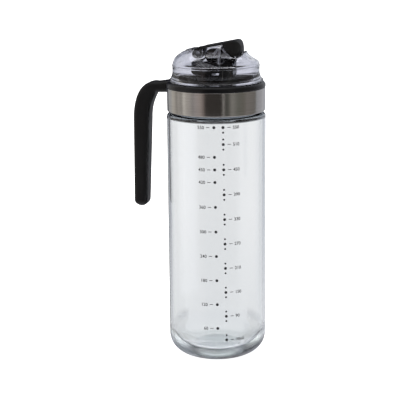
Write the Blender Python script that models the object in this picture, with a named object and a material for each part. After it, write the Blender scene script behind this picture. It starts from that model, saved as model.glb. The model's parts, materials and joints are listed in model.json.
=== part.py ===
"""Glass oil dispenser: threaded bottle, screw-on head with a side handle, clear nose and gravity flap.

Metres, +Z up. The origin is the middle of the bottle's base, the nose points to +X and the handle to -X.
"""
import math

import bmesh
import bpy
from mathutils import Matrix, Vector

# Fits between pieces
FIT = 0.0003                    # between faces that bear on each other
RUNNING_FIT = 0.0004            # round a piece that moves
CUT_PAST = 0.0012               # how far a cutter runs past the face that it opens

# Facets of round pieces
BODY_STEPS = 56
DOME_STEPS = 60
LUG_STEPS = 5
SMALL_STEPS = 24

# Glass bottle
BODY_RADIUS = 0.0350
BODY_HEIGHT = 0.1746            # up to where the shoulder starts to round
GLASS_WALL = 0.00204
BASE_THICKNESS = 0.0070
HEEL_REACH = 0.0160             # how far the rounded heel runs in under the body
HEEL_RISE = 0.0140
SHOULDER_ROUND = 0.0016
SHOULDER_RISE = 0.0008          # from the rounded shoulder up to the neck
SHOULDER_WALL = 0.0016          # top of the rounded edge down to the flat underside
SHOULDER_COVE = 0.0015          # inner corner between wall and underside
SHOULDER_BORE_ROUND = 0.0012    # inner corner between underside and neck
NECK_RADIUS = 0.0296
NECK_WALL = 0.0024
NECK_HEIGHT = 0.0169
RIM_ROUND = 0.0008

# Thread between neck and cap
THREAD_STARTS = 4
THREAD_LEAD = 0.0140            # rise of the head in one turn
THREAD_SPAN = math.radians(55)
THREAD_START = math.radians(2.1)
THREAD_BELOW_RIM = 0.0074       # rim to the start of a glass lug's middle
GLASS_LUG_DEPTH = 0.0013
GLASS_LUG_WIDTH = 0.0015
CAP_LUG_WIDTH = 0.0013
LUG_TAPER = 0.0003              # each flank's slant
LUG_ROOT = 0.0004               # how far a lug is set into its wall
LUG_CREST_FIT = 0.0005          # cap lug's crest to the glass
GLASS_CREST_FIT = 0.0010        # glass lug's crest to the cap

# Gasket and screw cap
GASKET_THICKNESS = 0.0011
GASKET_INSET = 0.0004
RIM_POCKET_FIT = 0.0007         # cap's upper bore round the rim
CAP_WALL = 0.0019
CAP_SKIRT_CLEARANCE = 0.0019    # shoulder to the skirt's lower edge
CAP_STEP_WALL = 0.0014          # wall of the step that the collar sits on
CAP_POCKET_DEPTH = 0.0041       # length of the upper bore
DECK_THICKNESS = 0.0028
DECK_RIM = 0.0006               # raised rim round the deck
KEY_COUNT = 4
KEY_WIDTH = 0.0040
KEY_DEPTH = 0.0009

# Steel sleeve
SLEEVE_WALL = 0.0005
SLEEVE_CURL = 0.0016            # inward reach of the rolled lower edge
SLEEVE_CURL_HEIGHT = 0.0010

# Collar and handle
COLLAR_WALL = 0.0029
COLLAR_HEIGHT = 0.0041
COLLAR_SIDE = 0.0018            # height of its upright side
COLLAR_SLOPE_IN = 0.0017
HANDLE_WIDTH = 0.0140
HANDLE_CORNER = 0.0030
HANDLE_ARM_HALF = 0.0037
HANDLE_GRIP_HALF = 0.0059       # where the grip is thickest, under the bend
HANDLE_GRIP_END_HALF = 0.0049
HANDLE_REACH = 0.0186           # collar's side to the middle of the grip under the bend
HANDLE_SPLAY = 0.0016           # how much further out the grip ends
HANDLE_LENGTH = 0.0870          # middle of the arm down to the end of the grip
HANDLE_BEND = 0.0111            # run of the bend
HANDLE_BEND_DROP = 0.0225
HANDLE_END_ROUND = 0.0045
HANDLE_ARM_DROP = 0.0047        # collar's top to the middle of the arm
HANDLE_SWELL = 1.70             # how much sooner than the bend ends the arm has swollen to the grip
BEND_RINGS = 9
GRIP_RINGS = 5
GRIP_END_RINGS = 4

# Clear dome
DOME_WALL = 0.0017
DOME_INSET = 0.0011             # cap's step in to the dome's side
DOME_FOOT_INSET = 0.0015        # collar's side in to the dome's foot
DOME_SIDE = 0.0112              # seat to the end of the straight side
DOME_SHOULDER = 0.0130
DOME_SHOULDER_ROUND = 0.0005
DOME_INNER_DROP = 0.7           # drop of the inner skin's levels for each unit of wall
DOME_FOOT_RINGS = [(0.0003, 0.0), (0.0, 0.0005), (0.0005, 0.0010), (0.0011, 0.0012), (0.0018, 0.0028)]
DOME_FOOT_RISE = 0.0044         # seat to where the flared foot meets the straight side
DOME_SECTOR_START = 0.35        # cosine from the nose's line where a side starts to turn into front or rear
DOME_SECTOR_BLEND = 0.55
# How far in and how far up the dome's skin has come, ring by ring, from the round shoulder to the nose
SIDE_RISE = [(0.12, 0.05), (0.32, 0.13), (0.55, 0.21), (0.75, 0.31), (0.89, 0.45), (0.97, 0.66), (1.0, 1.0)]
FRONT_RISE = [(0.10, 0.06), (0.29, 0.13), (0.53, 0.22), (0.75, 0.33), (0.90, 0.44), (0.98, 0.62), (1.0, 1.0)]
REAR_RISE = [(0.06, 0.22), (0.17, 0.42), (0.34, 0.60), (0.53, 0.76), (0.73, 0.91), (0.90, 0.985), (1.0, 1.0)]
ROOF_OPENS_PAST = 0.0004        # how far the room's roof lies above the flap's recess
DOME_TONGUE = 0.0014            # thickness of the ring that plugs into the deck
DOME_TONGUE_DEPTH = 0.0010
SEAL_THICKNESS = 0.0009
SEAL_GROOVE_FIT = 0.0004
NOSE_FRONT = 0.0208
NOSE_REAR = 0.0215
NOSE_HALF_WIDTH = 0.0095
NOSE_FRONT_ROUND = 0.0072
NOSE_REAR_ROUND = 0.0085
NOSE_EDGE = 0.0008
ROOF_HEIGHT = 0.02565           # seat to the roof line at the bottle's axis
ROOF_SLOPE = 0.195
LIP_HEIGHT = 0.0203             # seat to the top of the pouring lip
LIP_INSET = 0.0012              # nose's front to the lip's inner face

# Flap, hinge and weight
HINGE_X = -0.0110
HINGE_DROP = 0.00460            # roof line to the hinge, square to the base
PIN_RADIUS = 0.0010
PIN_OVERHANG = 0.0024           # length of the pin in each boss
BOSS_RADIUS = 0.0032
KNUCKLE_HALF_WIDTH = 0.0046
STRIP_THICKNESS = 0.0012
STRIP_REAR_X = -0.0085
HOOD_FRONT = 0.0193
HOOD_HALF_WIDTH = 0.0093
HOOD_FRONT_ROUND = 0.0066
HOOD_WALL = 0.0014
HOOD_REAR_TOP_X = 0.0064        # where the slanted rear edge meets the strip
HOOD_REAR_FOOT_X = 0.0126
HOOD_REAR_FOOT = 0.0190         # seat to the foot of the slanted edge
HOOD_CHEEK_FOOT = 0.0174        # seat to the lowest point of the cheeks
HOOD_CHEEK_X = 0.0170
HOOD_CHIN = 0.0181              # seat to the bottom of the hood's front face
HOOD_FACE = [(0.0002, 0.0060), (0.0011, 0.0032), (0.0027, 0.0014), (0.0051, 0.0)]
HOOD_CHIN_ROUND = 0.0006
HOOD_ROOM_REAR = 0.0070         # strip's end of the slanted edge back to the hollow's rear
HOOD_ROOM_FACE = [(0.0034, 0.0042), (0.0014, 0.0072)]
WEIGHT_REAR_X = -0.0067
WEIGHT_FRONT_X = 0.0132
WEIGHT_RADIUS = 0.0060
WEIGHT_HEIGHT = 0.0164          # seat to its middle line
WEIGHT_END_ROUND = 0.0045
WEIGHT_FLAT = 0.0008            # depth of the flats above and below
SCREW_X = 0.0076
SCREW_RADIUS = 0.0010
SCREW_HEAD_RADIUS = 0.0019
SCREW_HEAD_HEIGHT = 0.0012
SCREW_HEAD_DEPTH = 0.0011       # flat to the underside of the head
SCREW_BITE = 0.0021             # length in the hood's boss
SCREW_CHAMFER = 0.0005
BOSS_WALL = 0.0014
PAD_LENGTH = 0.0076
PAD_HALF_WIDTH = 0.0044
PAD_THICKNESS = 0.0013

# Pour core
CORE_HALF_WIDTH = 0.0072
CORE_WALL = 0.0012
CORE_FRONT = 0.0133
CORE_REAR = 0.0160
CORE_BACK_FOOT_X = -0.0125
CORE_TRAY_FOOT = 0.0042         # seat to the underside of the tray
CORE_BRIDGE_FOOT = 0.0072       # seat to the underside between tray and channel
CORE_BACK_FOOT = 0.0087         # seat to where the back wall turns in
CORE_REAR_TOP = 0.0116
CORE_FRONT_TOP = 0.0123
CORE_SADDLE = [(-0.0090, 0.0116), (-0.0020, 0.0111), (0.0030, 0.0109), (0.0070, 0.0113)]
CORE_CORNER = 0.0016            # length of the slanted corner over the channel
CORE_CORNER_RISE = 0.0008
CORE_TRAY_FRONT_X = -0.0015
CHANNEL_BACK_X = 0.0036
CHANNEL_BORE_HALF_WIDTH = 0.0042
CHUTE_START = 0.0106            # seat to where the front wall leans out
CHUTE_TIP = 0.0206
CHUTE_TIP_DEPTH = 0.0022        # height of the chute's end face
CHUTE_TIP_GAP = 0.0005          # tip to the hood's inner face
CHUTE_HALF_WIDTH = 0.0043
SPIGOT_WALL = 0.0010
DRAIN_X = -0.0070
DRAIN_RADIUS = 0.0015


def shoulder_top():
    return BODY_HEIGHT + SHOULDER_ROUND + SHOULDER_RISE


def rim_height():
    return shoulder_top() + NECK_HEIGHT


def cap_ceiling():
    return rim_height() + GASKET_THICKNESS + 2 * FIT


def deck_top():
    return cap_ceiling() + DECK_THICKNESS


def roof_wall():
    """The dome's roof is thinner than the flap's recess is deep, so the recess opens into the room."""
    return STRIP_THICKNESS + FIT - ROOF_OPENS_PAST


def cap_bore():
    return NECK_RADIUS + GLASS_LUG_DEPTH + GLASS_CREST_FIT


def cap_radius():
    return cap_bore() + CAP_WALL


def rim_bore():
    return NECK_RADIUS + RIM_POCKET_FIT


def step_radius():
    return rim_bore() + CAP_STEP_WALL


def sleeve_radius():
    return cap_radius() + FIT + SLEEVE_WALL


def collar_bottom():
    return deck_top() + DECK_RIM - COLLAR_HEIGHT


def collar_radius():
    return step_radius() + FIT + COLLAR_WALL


def dome_radius():
    return step_radius() - DOME_INSET


def dome_foot_radius():
    return collar_radius() - DOME_FOOT_INSET


def seat():
    """Height that the dome's foot rests at; heights in the nose count from here."""
    return deck_top() + DECK_RIM + FIT


def roof(x):
    """Height of the roof line, a straight slope rising to the front."""
    return seat() + ROOF_HEIGHT + ROOF_SLOPE * x


def hinge_point():
    return Vector((HINGE_X, 0.0, roof(HINGE_X) - HINGE_DROP))


def eased(value):
    """Soft step from 0 to 1."""
    value = min(1.0, max(0.0, value))
    return value * value * (3 - 2 * value)


def new_material(name, colour, roughness, metallic=0.0, alpha=1.0, transmission=0.0):
    material = bpy.data.materials.new(name)
    material.use_nodes = True
    shader = material.node_tree.nodes["Principled BSDF"]
    shader.inputs["Base Color"].default_value = (*colour, 1.0)
    shader.inputs["Roughness"].default_value = roughness
    shader.inputs["Metallic"].default_value = metallic
    shader.inputs["Alpha"].default_value = alpha
    shader.inputs["Transmission Weight"].default_value = transmission
    return material


def clear_glass():
    return new_material("clear_glass", (0.90, 0.94, 0.94), 0.02, transmission=1.0)


def brushed_steel():
    return new_material("brushed_steel", (0.42, 0.40, 0.38), 0.30, metallic=1.0)


def handle_black():
    return new_material("handle_black", (0.015, 0.015, 0.017), 0.55)


def cap_black():
    return new_material("cap_black", (0.018, 0.018, 0.020), 0.40)


def clear_plastic():
    return new_material("clear_plastic", (0.92, 0.92, 0.95), 0.04, transmission=1.0)


def core_black():
    return new_material("core_black", (0.012, 0.012, 0.014), 0.35)


def flap_black():
    return new_material("flap_black", (0.014, 0.014, 0.015), 0.50)


def bright_chrome():
    return new_material("bright_chrome", (0.80, 0.79, 0.77), 0.06, metallic=1.0)


def pin_steel():
    return new_material("pin_steel", (0.60, 0.60, 0.60), 0.25, metallic=1.0)


def screw_steel():
    return new_material("screw_steel", (0.55, 0.55, 0.56), 0.30, metallic=1.0)


def gasket_silicone():
    return new_material("gasket_silicone", (0.75, 0.75, 0.74), 0.60)


def seal_silicone():
    return new_material("seal_silicone", (0.70, 0.70, 0.70), 0.60)


def pad_silicone():
    return new_material("pad_silicone", (0.10, 0.10, 0.10), 0.65)


def mesh_object(name, build):
    """Object whose closed mesh the function build(bm) fills in, in world coordinates."""
    bm = bmesh.new()
    build(bm)
    bmesh.ops.recalc_face_normals(bm, faces=bm.faces)
    mesh = bpy.data.meshes.new(name)
    bm.to_mesh(mesh)
    bm.free()
    obj = bpy.data.objects.new(name, mesh)
    bpy.context.scene.collection.objects.link(obj)
    return obj


def finish(obj, material, smooth_angle=32.0):
    obj.data.materials.append(material)
    obj.data.shade_smooth()
    obj.data.set_sharp_from_angle(angle=math.radians(smooth_angle))
    return obj


def as_cutter(obj):
    obj.hide_render = True
    obj.display_type = "WIRE"
    return obj


def combine(obj, tool, operation):
    step = obj.modifiers.new(tool.name, "BOOLEAN")
    step.operation = operation
    step.solver = "EXACT"
    step.object = as_cutter(tool)


def cut(obj, tool):
    combine(obj, tool, "DIFFERENCE")


def join(obj, tool):
    combine(obj, tool, "UNION")


def keep_inside(obj, tool):
    combine(obj, tool, "INTERSECT")


def arc(centre, radii, start, end, steps):
    """Points of an elliptical arc; angles in degrees, counter-clockwise from the first axis."""
    angles = [math.radians(start + (end - start) * i / steps) for i in range(steps + 1)]
    return [(centre[0] + radii[0] * math.cos(a), centre[1] + radii[1] * math.sin(a)) for a in angles]


def skin(bm, rings, ring_shaped):
    """Faces through rings of points, joined end to start or closed flat at both ends."""
    loops = [[bm.verts.new(point) for point in ring] for ring in rings]
    count = len(loops[0])
    following = loops[1:] + loops[:1] if ring_shaped else loops[1:]
    for low, high in zip(loops, following):
        for i in range(count):
            j = (i + 1) % count
            bm.faces.new((low[i], low[j], high[j], high[i]))
    if not ring_shaped:
        bm.faces.new(loops[0])
        bm.faces.new(loops[-1])


def turned(name, profile, steps=BODY_STEPS, ring_shaped=False):
    """Solid of a (radius, height) profile turned about Z, ring-shaped or with flat discs at both ends."""
    angles = [2 * math.pi * i / steps for i in range(steps)]
    rings = [[(r * math.cos(a), r * math.sin(a), z) for a in angles] for r, z in profile]
    return mesh_object(name, lambda bm: skin(bm, rings, ring_shaped))


def lofted(name, rings):
    """Solid through rings with equal numbers of points, closed flat at both ends."""
    return mesh_object(name, lambda bm: skin(bm, rings, False))


def side_prism(name, outline, y_low, y_high):
    """Solid of an (x, z) outline between two planes square to Y."""
    return lofted(name, [[(x, y, z) for x, z in outline] for y in (y_low, y_high)])


def column(name, outline, z_low, z_high):
    """Solid of an (x, y) outline between two levels."""
    return lofted(name, [[(x, y, z) for x, y in outline] for z in (z_low, z_high)])


def block(name, x, y, z):
    return column(name, [(x[0], y[0]), (x[1], y[0]), (x[1], y[1]), (x[0], y[1])], z[0], z[1])


def rod_along_y(name, centre, radius, y_low, y_high, steps=SMALL_STEPS):
    outline = arc((centre[0], centre[2]), (radius, radius), 0, 360 - 360 / steps, steps - 1)
    return side_prism(name, outline, y_low, y_high)


def upright_rod(name, x, radius, z_low, z_high, steps=SMALL_STEPS):
    outline = arc((x, 0.0), (radius, radius), 0, 360 - 360 / steps, steps - 1)
    return column(name, outline, z_low, z_high)


def nose_plan(x_rear, x_front, half_width, rear_round, front_round, steps=6):
    """Plan of the nose: a bar with rounded corners, counter-clockwise."""
    front_x, front_y = x_front - front_round, half_width - front_round
    rear_x, rear_y = x_rear + rear_round, half_width - rear_round
    return (arc((front_x, -front_y), (front_round, front_round), -90, 0, steps)
            + arc((front_x, front_y), (front_round, front_round), 0, 90, steps)
            + arc((rear_x, rear_y), (rear_round, rear_round), 90, 180, steps)
            + arc((rear_x, -rear_y), (rear_round, rear_round), 180, 270, steps))


def reach_of_plan(outline, angle):
    """Distance from the axis to the plan's outline along one direction."""
    direction = Vector((math.cos(angle), math.sin(angle)))
    for (ax, ay), (bx, by) in zip(outline, outline[1:] + outline[:1]):
        edge = Vector((bx - ax, by - ay))
        denominator = direction.x * edge.y - direction.y * edge.x
        if abs(denominator) < 1e-12:
            continue
        along = (ax * edge.y - ay * edge.x) / denominator
        across = (ax * direction.y - ay * direction.x) / denominator
        if along > 0 and -1e-9 <= across <= 1 + 1e-9:
            return along
    return 0.0


def world_place(obj):
    """World place of an object or empty whose parents have no rotation."""
    return obj.location + (world_place(obj.parent) if obj.parent else Vector())


def hang_on(obj, parent):
    """Put an object's origin on its parent's, with its mesh left where it is in the world."""
    obj.data.transform(Matrix.Translation(-world_place(parent)))
    obj.parent = parent


def axis_empty(name, place, parent=None):
    empty = bpy.data.objects.new(name, None)
    empty.location = Vector(place) - (world_place(parent) if parent else Vector())
    empty.parent = parent
    bpy.context.scene.collection.objects.link(empty)
    return empty


def helical_lug(name, wall_radius, crest_radius, width, start_angle, start_height):
    """One thread lug: a tapered rib that climbs with the thread's lead and is set into its wall."""
    outward = 1 if crest_radius > wall_radius else -1
    half = width / 2
    section = [(wall_radius - outward * LUG_ROOT, -half), (crest_radius, -half + LUG_TAPER),
               (crest_radius, half - LUG_TAPER), (wall_radius - outward * LUG_ROOT, half)]
    rings = []
    for i in range(LUG_STEPS + 1):
        turn = THREAD_SPAN * i / LUG_STEPS
        angle = start_angle + turn
        middle = start_height + THREAD_LEAD * turn / (2 * math.pi)
        rings.append([(r * math.cos(angle), r * math.sin(angle), middle + dz) for r, dz in section])
    return lofted(name, rings)


def lug_start():
    return rim_height() - THREAD_BELOW_RIM


def build_bottle():
    bore = BODY_RADIUS - GLASS_WALL
    neck_bore = NECK_RADIUS - NECK_WALL
    rim = rim_height()
    shoulder = shoulder_top()
    outside = arc((BODY_RADIUS - HEEL_REACH, HEEL_RISE), (HEEL_REACH, HEEL_RISE), -90, 0, 7)
    outside += arc((BODY_RADIUS - SHOULDER_ROUND, BODY_HEIGHT), (SHOULDER_ROUND, SHOULDER_ROUND), 0, 78, 4)
    outside += [(NECK_RADIUS + SHOULDER_RISE, shoulder - SHOULDER_RISE / 2), (NECK_RADIUS, shoulder)]
    outside += arc((NECK_RADIUS - RIM_ROUND, rim - RIM_ROUND), (RIM_ROUND, RIM_ROUND), 0, 90, 2)
    inside = arc((neck_bore + RIM_ROUND, rim - RIM_ROUND), (RIM_ROUND, RIM_ROUND), 90, 180, 2)
    under = BODY_HEIGHT + SHOULDER_ROUND - SHOULDER_WALL
    inside += arc((neck_bore + SHOULDER_BORE_ROUND, under + SHOULDER_BORE_ROUND),
                  (SHOULDER_BORE_ROUND, SHOULDER_BORE_ROUND), 180, 270, 2)
    inside += arc((bore - SHOULDER_COVE, under - SHOULDER_COVE), (SHOULDER_COVE, SHOULDER_COVE), 90, 0, 3)
    inside += arc((bore - HEEL_REACH, BASE_THICKNESS + HEEL_RISE), (HEEL_REACH, HEEL_RISE), 0, -90, 6)
    bottle = turned("glass_bottle", outside + inside)
    finish(bottle, clear_glass())
    for i in range(THREAD_STARTS):
        lug = helical_lug(f"neck_lug_{i}", NECK_RADIUS, NECK_RADIUS + GLASS_LUG_DEPTH, GLASS_LUG_WIDTH,
                          THREAD_START + 2 * math.pi * i / THREAD_STARTS, lug_start())
        join(bottle, lug)
    return bottle


def build_gasket():
    outer = rim_bore() - GASKET_INSET
    inner = NECK_RADIUS - NECK_WALL
    low = rim_height() + FIT
    high = low + GASKET_THICKNESS
    gasket = turned("neck_gasket", [(outer, low), (outer, high), (inner, high), (inner, low)], 48, True)
    return finish(gasket, gasket_silicone())


def groove_radii():
    """Inner and outer radius of the deck's groove, which the dome's tongue plugs into."""
    inner = dome_radius() - DOME_WALL - SEAL_GROOVE_FIT
    return inner, inner + DOME_TONGUE + 2 * SEAL_GROOVE_FIT


def groove_floor():
    return seat() - DOME_TONGUE_DEPTH - SEAL_THICKNESS - 2 * FIT


def pour_bore_span():
    """X span of the pour channel's bore."""
    return CHANNEL_BACK_X + CORE_WALL, CORE_FRONT - CORE_WALL


def spigot_span(extra=0.0):
    """X span of the spigot that carries the bore through the cap, or of the hole round it."""
    back, front = pour_bore_span()
    return back - SPIGOT_WALL - extra, front + SPIGOT_WALL + extra


def build_cap():
    low = shoulder_top() + CAP_SKIRT_CLEARANCE
    ceiling = cap_ceiling()
    bore, outer, pocket, step = cap_bore(), cap_radius(), rim_bore(), step_radius()
    groove_in, groove_out = groove_radii()
    rim_top = deck_top() + DECK_RIM
    profile = [(pocket, ceiling), (pocket, ceiling - CAP_POCKET_DEPTH),
               (bore, ceiling - CAP_POCKET_DEPTH - (bore - pocket)), (bore, low + FIT), (bore + FIT, low),
               (outer, low), (outer, collar_bottom() - FIT), (step, collar_bottom() - FIT), (step, rim_top),
               (groove_out, rim_top), (groove_out, groove_floor()), (groove_in, groove_floor()),
               (groove_in, rim_top), (groove_in - 2 * DECK_RIM, deck_top())]
    cap = turned("screw_cap", profile)
    finish(cap, cap_black())
    pitch_middle = THREAD_LEAD / THREAD_STARTS / 2
    for i in range(THREAD_STARTS):
        lug = helical_lug(f"cap_lug_{i}", bore, NECK_RADIUS + LUG_CREST_FIT, CAP_LUG_WIDTH,
                          THREAD_START + 2 * math.pi * i / THREAD_STARTS, lug_start() - pitch_middle)
        join(cap, lug)
    for i in range(KEY_COUNT):
        join(cap, collar_key(f"cap_key_{i}", i, 0.0))
    half = CHANNEL_BORE_HALF_WIDTH + SPIGOT_WALL + FIT
    through = (ceiling - CUT_PAST, rim_top + CUT_PAST)
    cut(cap, block("pour_hole", spigot_span(FIT), (-half, half), through))
    cut(cap, upright_rod("drain_hole", DRAIN_X, DRAIN_RADIUS + SPIGOT_WALL + FIT, *through))
    return cap


def collar_key(name, index, extra):
    """Key that locks the collar to the cap; extra widens it into the collar's keyway."""
    angle = 2 * math.pi * index / KEY_COUNT + math.pi / KEY_COUNT
    inner = step_radius() - KEY_DEPTH
    outer = step_radius() + KEY_DEPTH + extra
    half = KEY_WIDTH / 2 + extra
    low = collar_bottom() - FIT - extra
    high = collar_bottom() + COLLAR_SIDE + extra
    key = block(name, (inner, outer), (-half, half), (low, high))
    key.data.transform(Matrix.Rotation(angle, 4, "Z"))
    return key


def build_sleeve():
    inner = cap_radius() + FIT
    outer = sleeve_radius()
    top = collar_bottom() - FIT
    skirt = shoulder_top() + CAP_SKIRT_CLEARANCE
    curl_top = skirt - FIT
    low = curl_top - SLEEVE_WALL
    profile = arc((outer - SLEEVE_CURL_HEIGHT, low + SLEEVE_CURL_HEIGHT),
                  (SLEEVE_CURL_HEIGHT, SLEEVE_CURL_HEIGHT), -90, 0, 3)
    profile += [(outer, top), (inner, top), (inner, curl_top + SLEEVE_WALL)]
    profile += [(inner - SLEEVE_WALL, curl_top), (outer - SLEEVE_CURL, curl_top), (outer - SLEEVE_CURL, low)]
    sleeve = turned("steel_sleeve", profile, ring_shaped=True)
    return finish(sleeve, brushed_steel())


def handle_path():
    """Middle line of the handle as (distance from the axis, height, half thickness)."""
    middle = collar_bottom() + COLLAR_HEIGHT - HANDLE_ARM_DROP
    grip = collar_radius() + HANDLE_REACH
    root = collar_radius() - COLLAR_WALL / 2
    bend_x, bend_z = grip - HANDLE_BEND, middle - HANDLE_BEND_DROP
    path = [(root, middle, HANDLE_ARM_HALF), ((root + bend_x) / 2, middle, HANDLE_ARM_HALF)]
    for i in range(BEND_RINGS + 1):
        turn = math.pi / 2 * i / BEND_RINGS
        swell = math.sin(min(math.pi / 2, turn * HANDLE_SWELL))
        path.append((bend_x + HANDLE_BEND * math.sin(turn), bend_z + HANDLE_BEND_DROP * math.cos(turn),
                     HANDLE_ARM_HALF + (HANDLE_GRIP_HALF - HANDLE_ARM_HALF) * swell))
    end = middle - HANDLE_LENGTH + HANDLE_END_ROUND
    for i in range(1, GRIP_RINGS + 1):
        share = i / GRIP_RINGS
        path.append((grip + HANDLE_SPLAY * share, bend_z + (end - bend_z) * share,
                     HANDLE_GRIP_HALF + (HANDLE_GRIP_END_HALF - HANDLE_GRIP_HALF) * share))
    return path


def handle_section(half_thickness, half_width, corner):
    """Rounded bar section as (across, along Y) points."""
    corner = min(corner, half_thickness, half_width)
    x, y = half_thickness - corner, half_width - corner
    return (arc((x, y), (corner, corner), 0, 90, 3) + arc((-x, y), (corner, corner), 90, 180, 3)
            + arc((-x, -y), (corner, corner), 180, 270, 3) + arc((x, -y), (corner, corner), 270, 360, 3))


def handle_arm():
    path = handle_path()
    rings = []
    for i, (x, z, half) in enumerate(path):
        before, after = path[max(i - 1, 0)], path[min(i + 1, len(path) - 1)]
        along = Vector((after[0] - before[0], after[1] - before[1])).normalized()
        across = Vector((-along.y, along.x))
        section = handle_section(half, HANDLE_WIDTH / 2, HANDLE_CORNER)
        rings.append([(-(x + across.x * a), y, z + across.y * a) for a, y in section])
    x, z, half = path[-1]
    for i in range(1, GRIP_END_RINGS + 1):
        turn = math.radians(82) * i / GRIP_END_RINGS
        drop = math.sin(turn) * HANDLE_END_ROUND
        shrink = HANDLE_END_ROUND * (1 - math.cos(turn))
        section = handle_section(half - shrink, HANDLE_WIDTH / 2 - shrink, HANDLE_CORNER)
        rings.append([(-(x + a), y, z - drop) for a, y in section])
    return lofted("handle_arm", rings)


def build_handle():
    inner = step_radius() + FIT
    outer = collar_radius()
    low = collar_bottom()
    high = low + COLLAR_HEIGHT
    profile = [(inner, low), (outer, low), (outer, low + COLLAR_SIDE)]
    profile += [(outer - COLLAR_SLOPE_IN / 3, low + (COLLAR_SIDE + COLLAR_HEIGHT) / 2),
                (outer - COLLAR_SLOPE_IN, high - FIT), (outer - COLLAR_SLOPE_IN - FIT, high), (inner, high)]
    handle = turned("handle", profile, ring_shaped=True)
    finish(handle, handle_black())
    arm = handle_arm()
    arm.data.shade_smooth()
    join(handle, arm)
    sleeve_room = turned("sleeve_room", [(sleeve_radius() + FIT, low - HANDLE_BEND),
                                         (sleeve_radius() + FIT, low)])
    cut(handle, sleeve_room)
    for i in range(KEY_COUNT):
        cut(handle, collar_key(f"keyway_{i}", i, FIT))
    return handle


def dome_skin(name, inset, drop, foot):
    """Closed solid of the dome's skin, drawn in by inset under a roof let down by drop.

    The foot is a list of (radius, height) rings that the solid starts with.
    """
    base = seat()
    radius = dome_radius() - inset
    plan = nose_plan(-NOSE_REAR + inset, NOSE_FRONT - inset, NOSE_HALF_WIDTH - inset,
                     NOSE_REAR_ROUND - inset, NOSE_FRONT_ROUND - inset)
    edge = nose_plan(-NOSE_REAR + inset + NOSE_EDGE, NOSE_FRONT - inset - NOSE_EDGE,
                     NOSE_HALF_WIDTH - inset - NOSE_EDGE, NOSE_REAR_ROUND - inset - NOSE_EDGE,
                     NOSE_FRONT_ROUND - inset - NOSE_EDGE)
    angles = [2 * math.pi * i / DOME_STEPS for i in range(DOME_STEPS)]
    side_top = base + DOME_SIDE - inset * DOME_INNER_DROP
    shoulder = base + DOME_SHOULDER - inset * DOME_INNER_DROP
    side = foot + [(radius, side_top), (radius - DOME_SHOULDER_ROUND / 4, (shoulder + side_top) / 2),
                   (radius - DOME_SHOULDER_ROUND, shoulder)]
    rings = [[(r * math.cos(a), r * math.sin(a), z) for a in angles] for r, z in side]
    for level in range(len(SIDE_RISE)):
        ring = []
        for a in angles:
            rear = eased((-math.cos(a) - DOME_SECTOR_START) / DOME_SECTOR_BLEND)
            front = eased((math.cos(a) - DOME_SECTOR_START) / DOME_SECTOR_BLEND)
            sides = 1 - rear - front
            run = sides * SIDE_RISE[level][0] + front * FRONT_RISE[level][0] + rear * REAR_RISE[level][0]
            rise = sides * SIDE_RISE[level][1] + front * FRONT_RISE[level][1] + rear * REAR_RISE[level][1]
            start = radius - DOME_SHOULDER_ROUND
            distance = start + (reach_of_plan(plan, a) - start) * run
            top = roof(reach_of_plan(plan, a) * math.cos(a)) - drop - NOSE_EDGE
            ring.append((distance * math.cos(a), distance * math.sin(a), shoulder + (top - shoulder) * rise))
        rings.append(ring)
    last = []
    for a in angles:
        reach = reach_of_plan(edge, a)
        last.append((reach * math.cos(a), reach * math.sin(a), roof(reach * math.cos(a)) - drop))
    rings.append(last)
    return lofted(name, rings)


def flap_room_outline():
    """Side view of the space cut out of the nose for the flap."""
    under = STRIP_THICKNESS + FIT
    high = roof(NOSE_FRONT) + CUT_PAST
    rear = HINGE_X - BOSS_RADIUS - RUNNING_FIT * 2
    clear = RUNNING_FIT
    return [(rear, high), (rear, roof(rear) - under),
            (HOOD_REAR_TOP_X - clear, roof(HOOD_REAR_TOP_X) - under),
            (HOOD_REAR_FOOT_X - clear, seat() + HOOD_REAR_FOOT - clear),
            (HOOD_CHEEK_X, seat() + HOOD_CHEEK_FOOT - clear),
            (NOSE_FRONT - LIP_INSET, seat() + HOOD_CHIN - clear),
            (NOSE_FRONT - LIP_INSET, seat() + LIP_HEIGHT),
            (NOSE_FRONT + CUT_PAST, seat() + LIP_HEIGHT), (NOSE_FRONT + CUT_PAST, high)]


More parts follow.
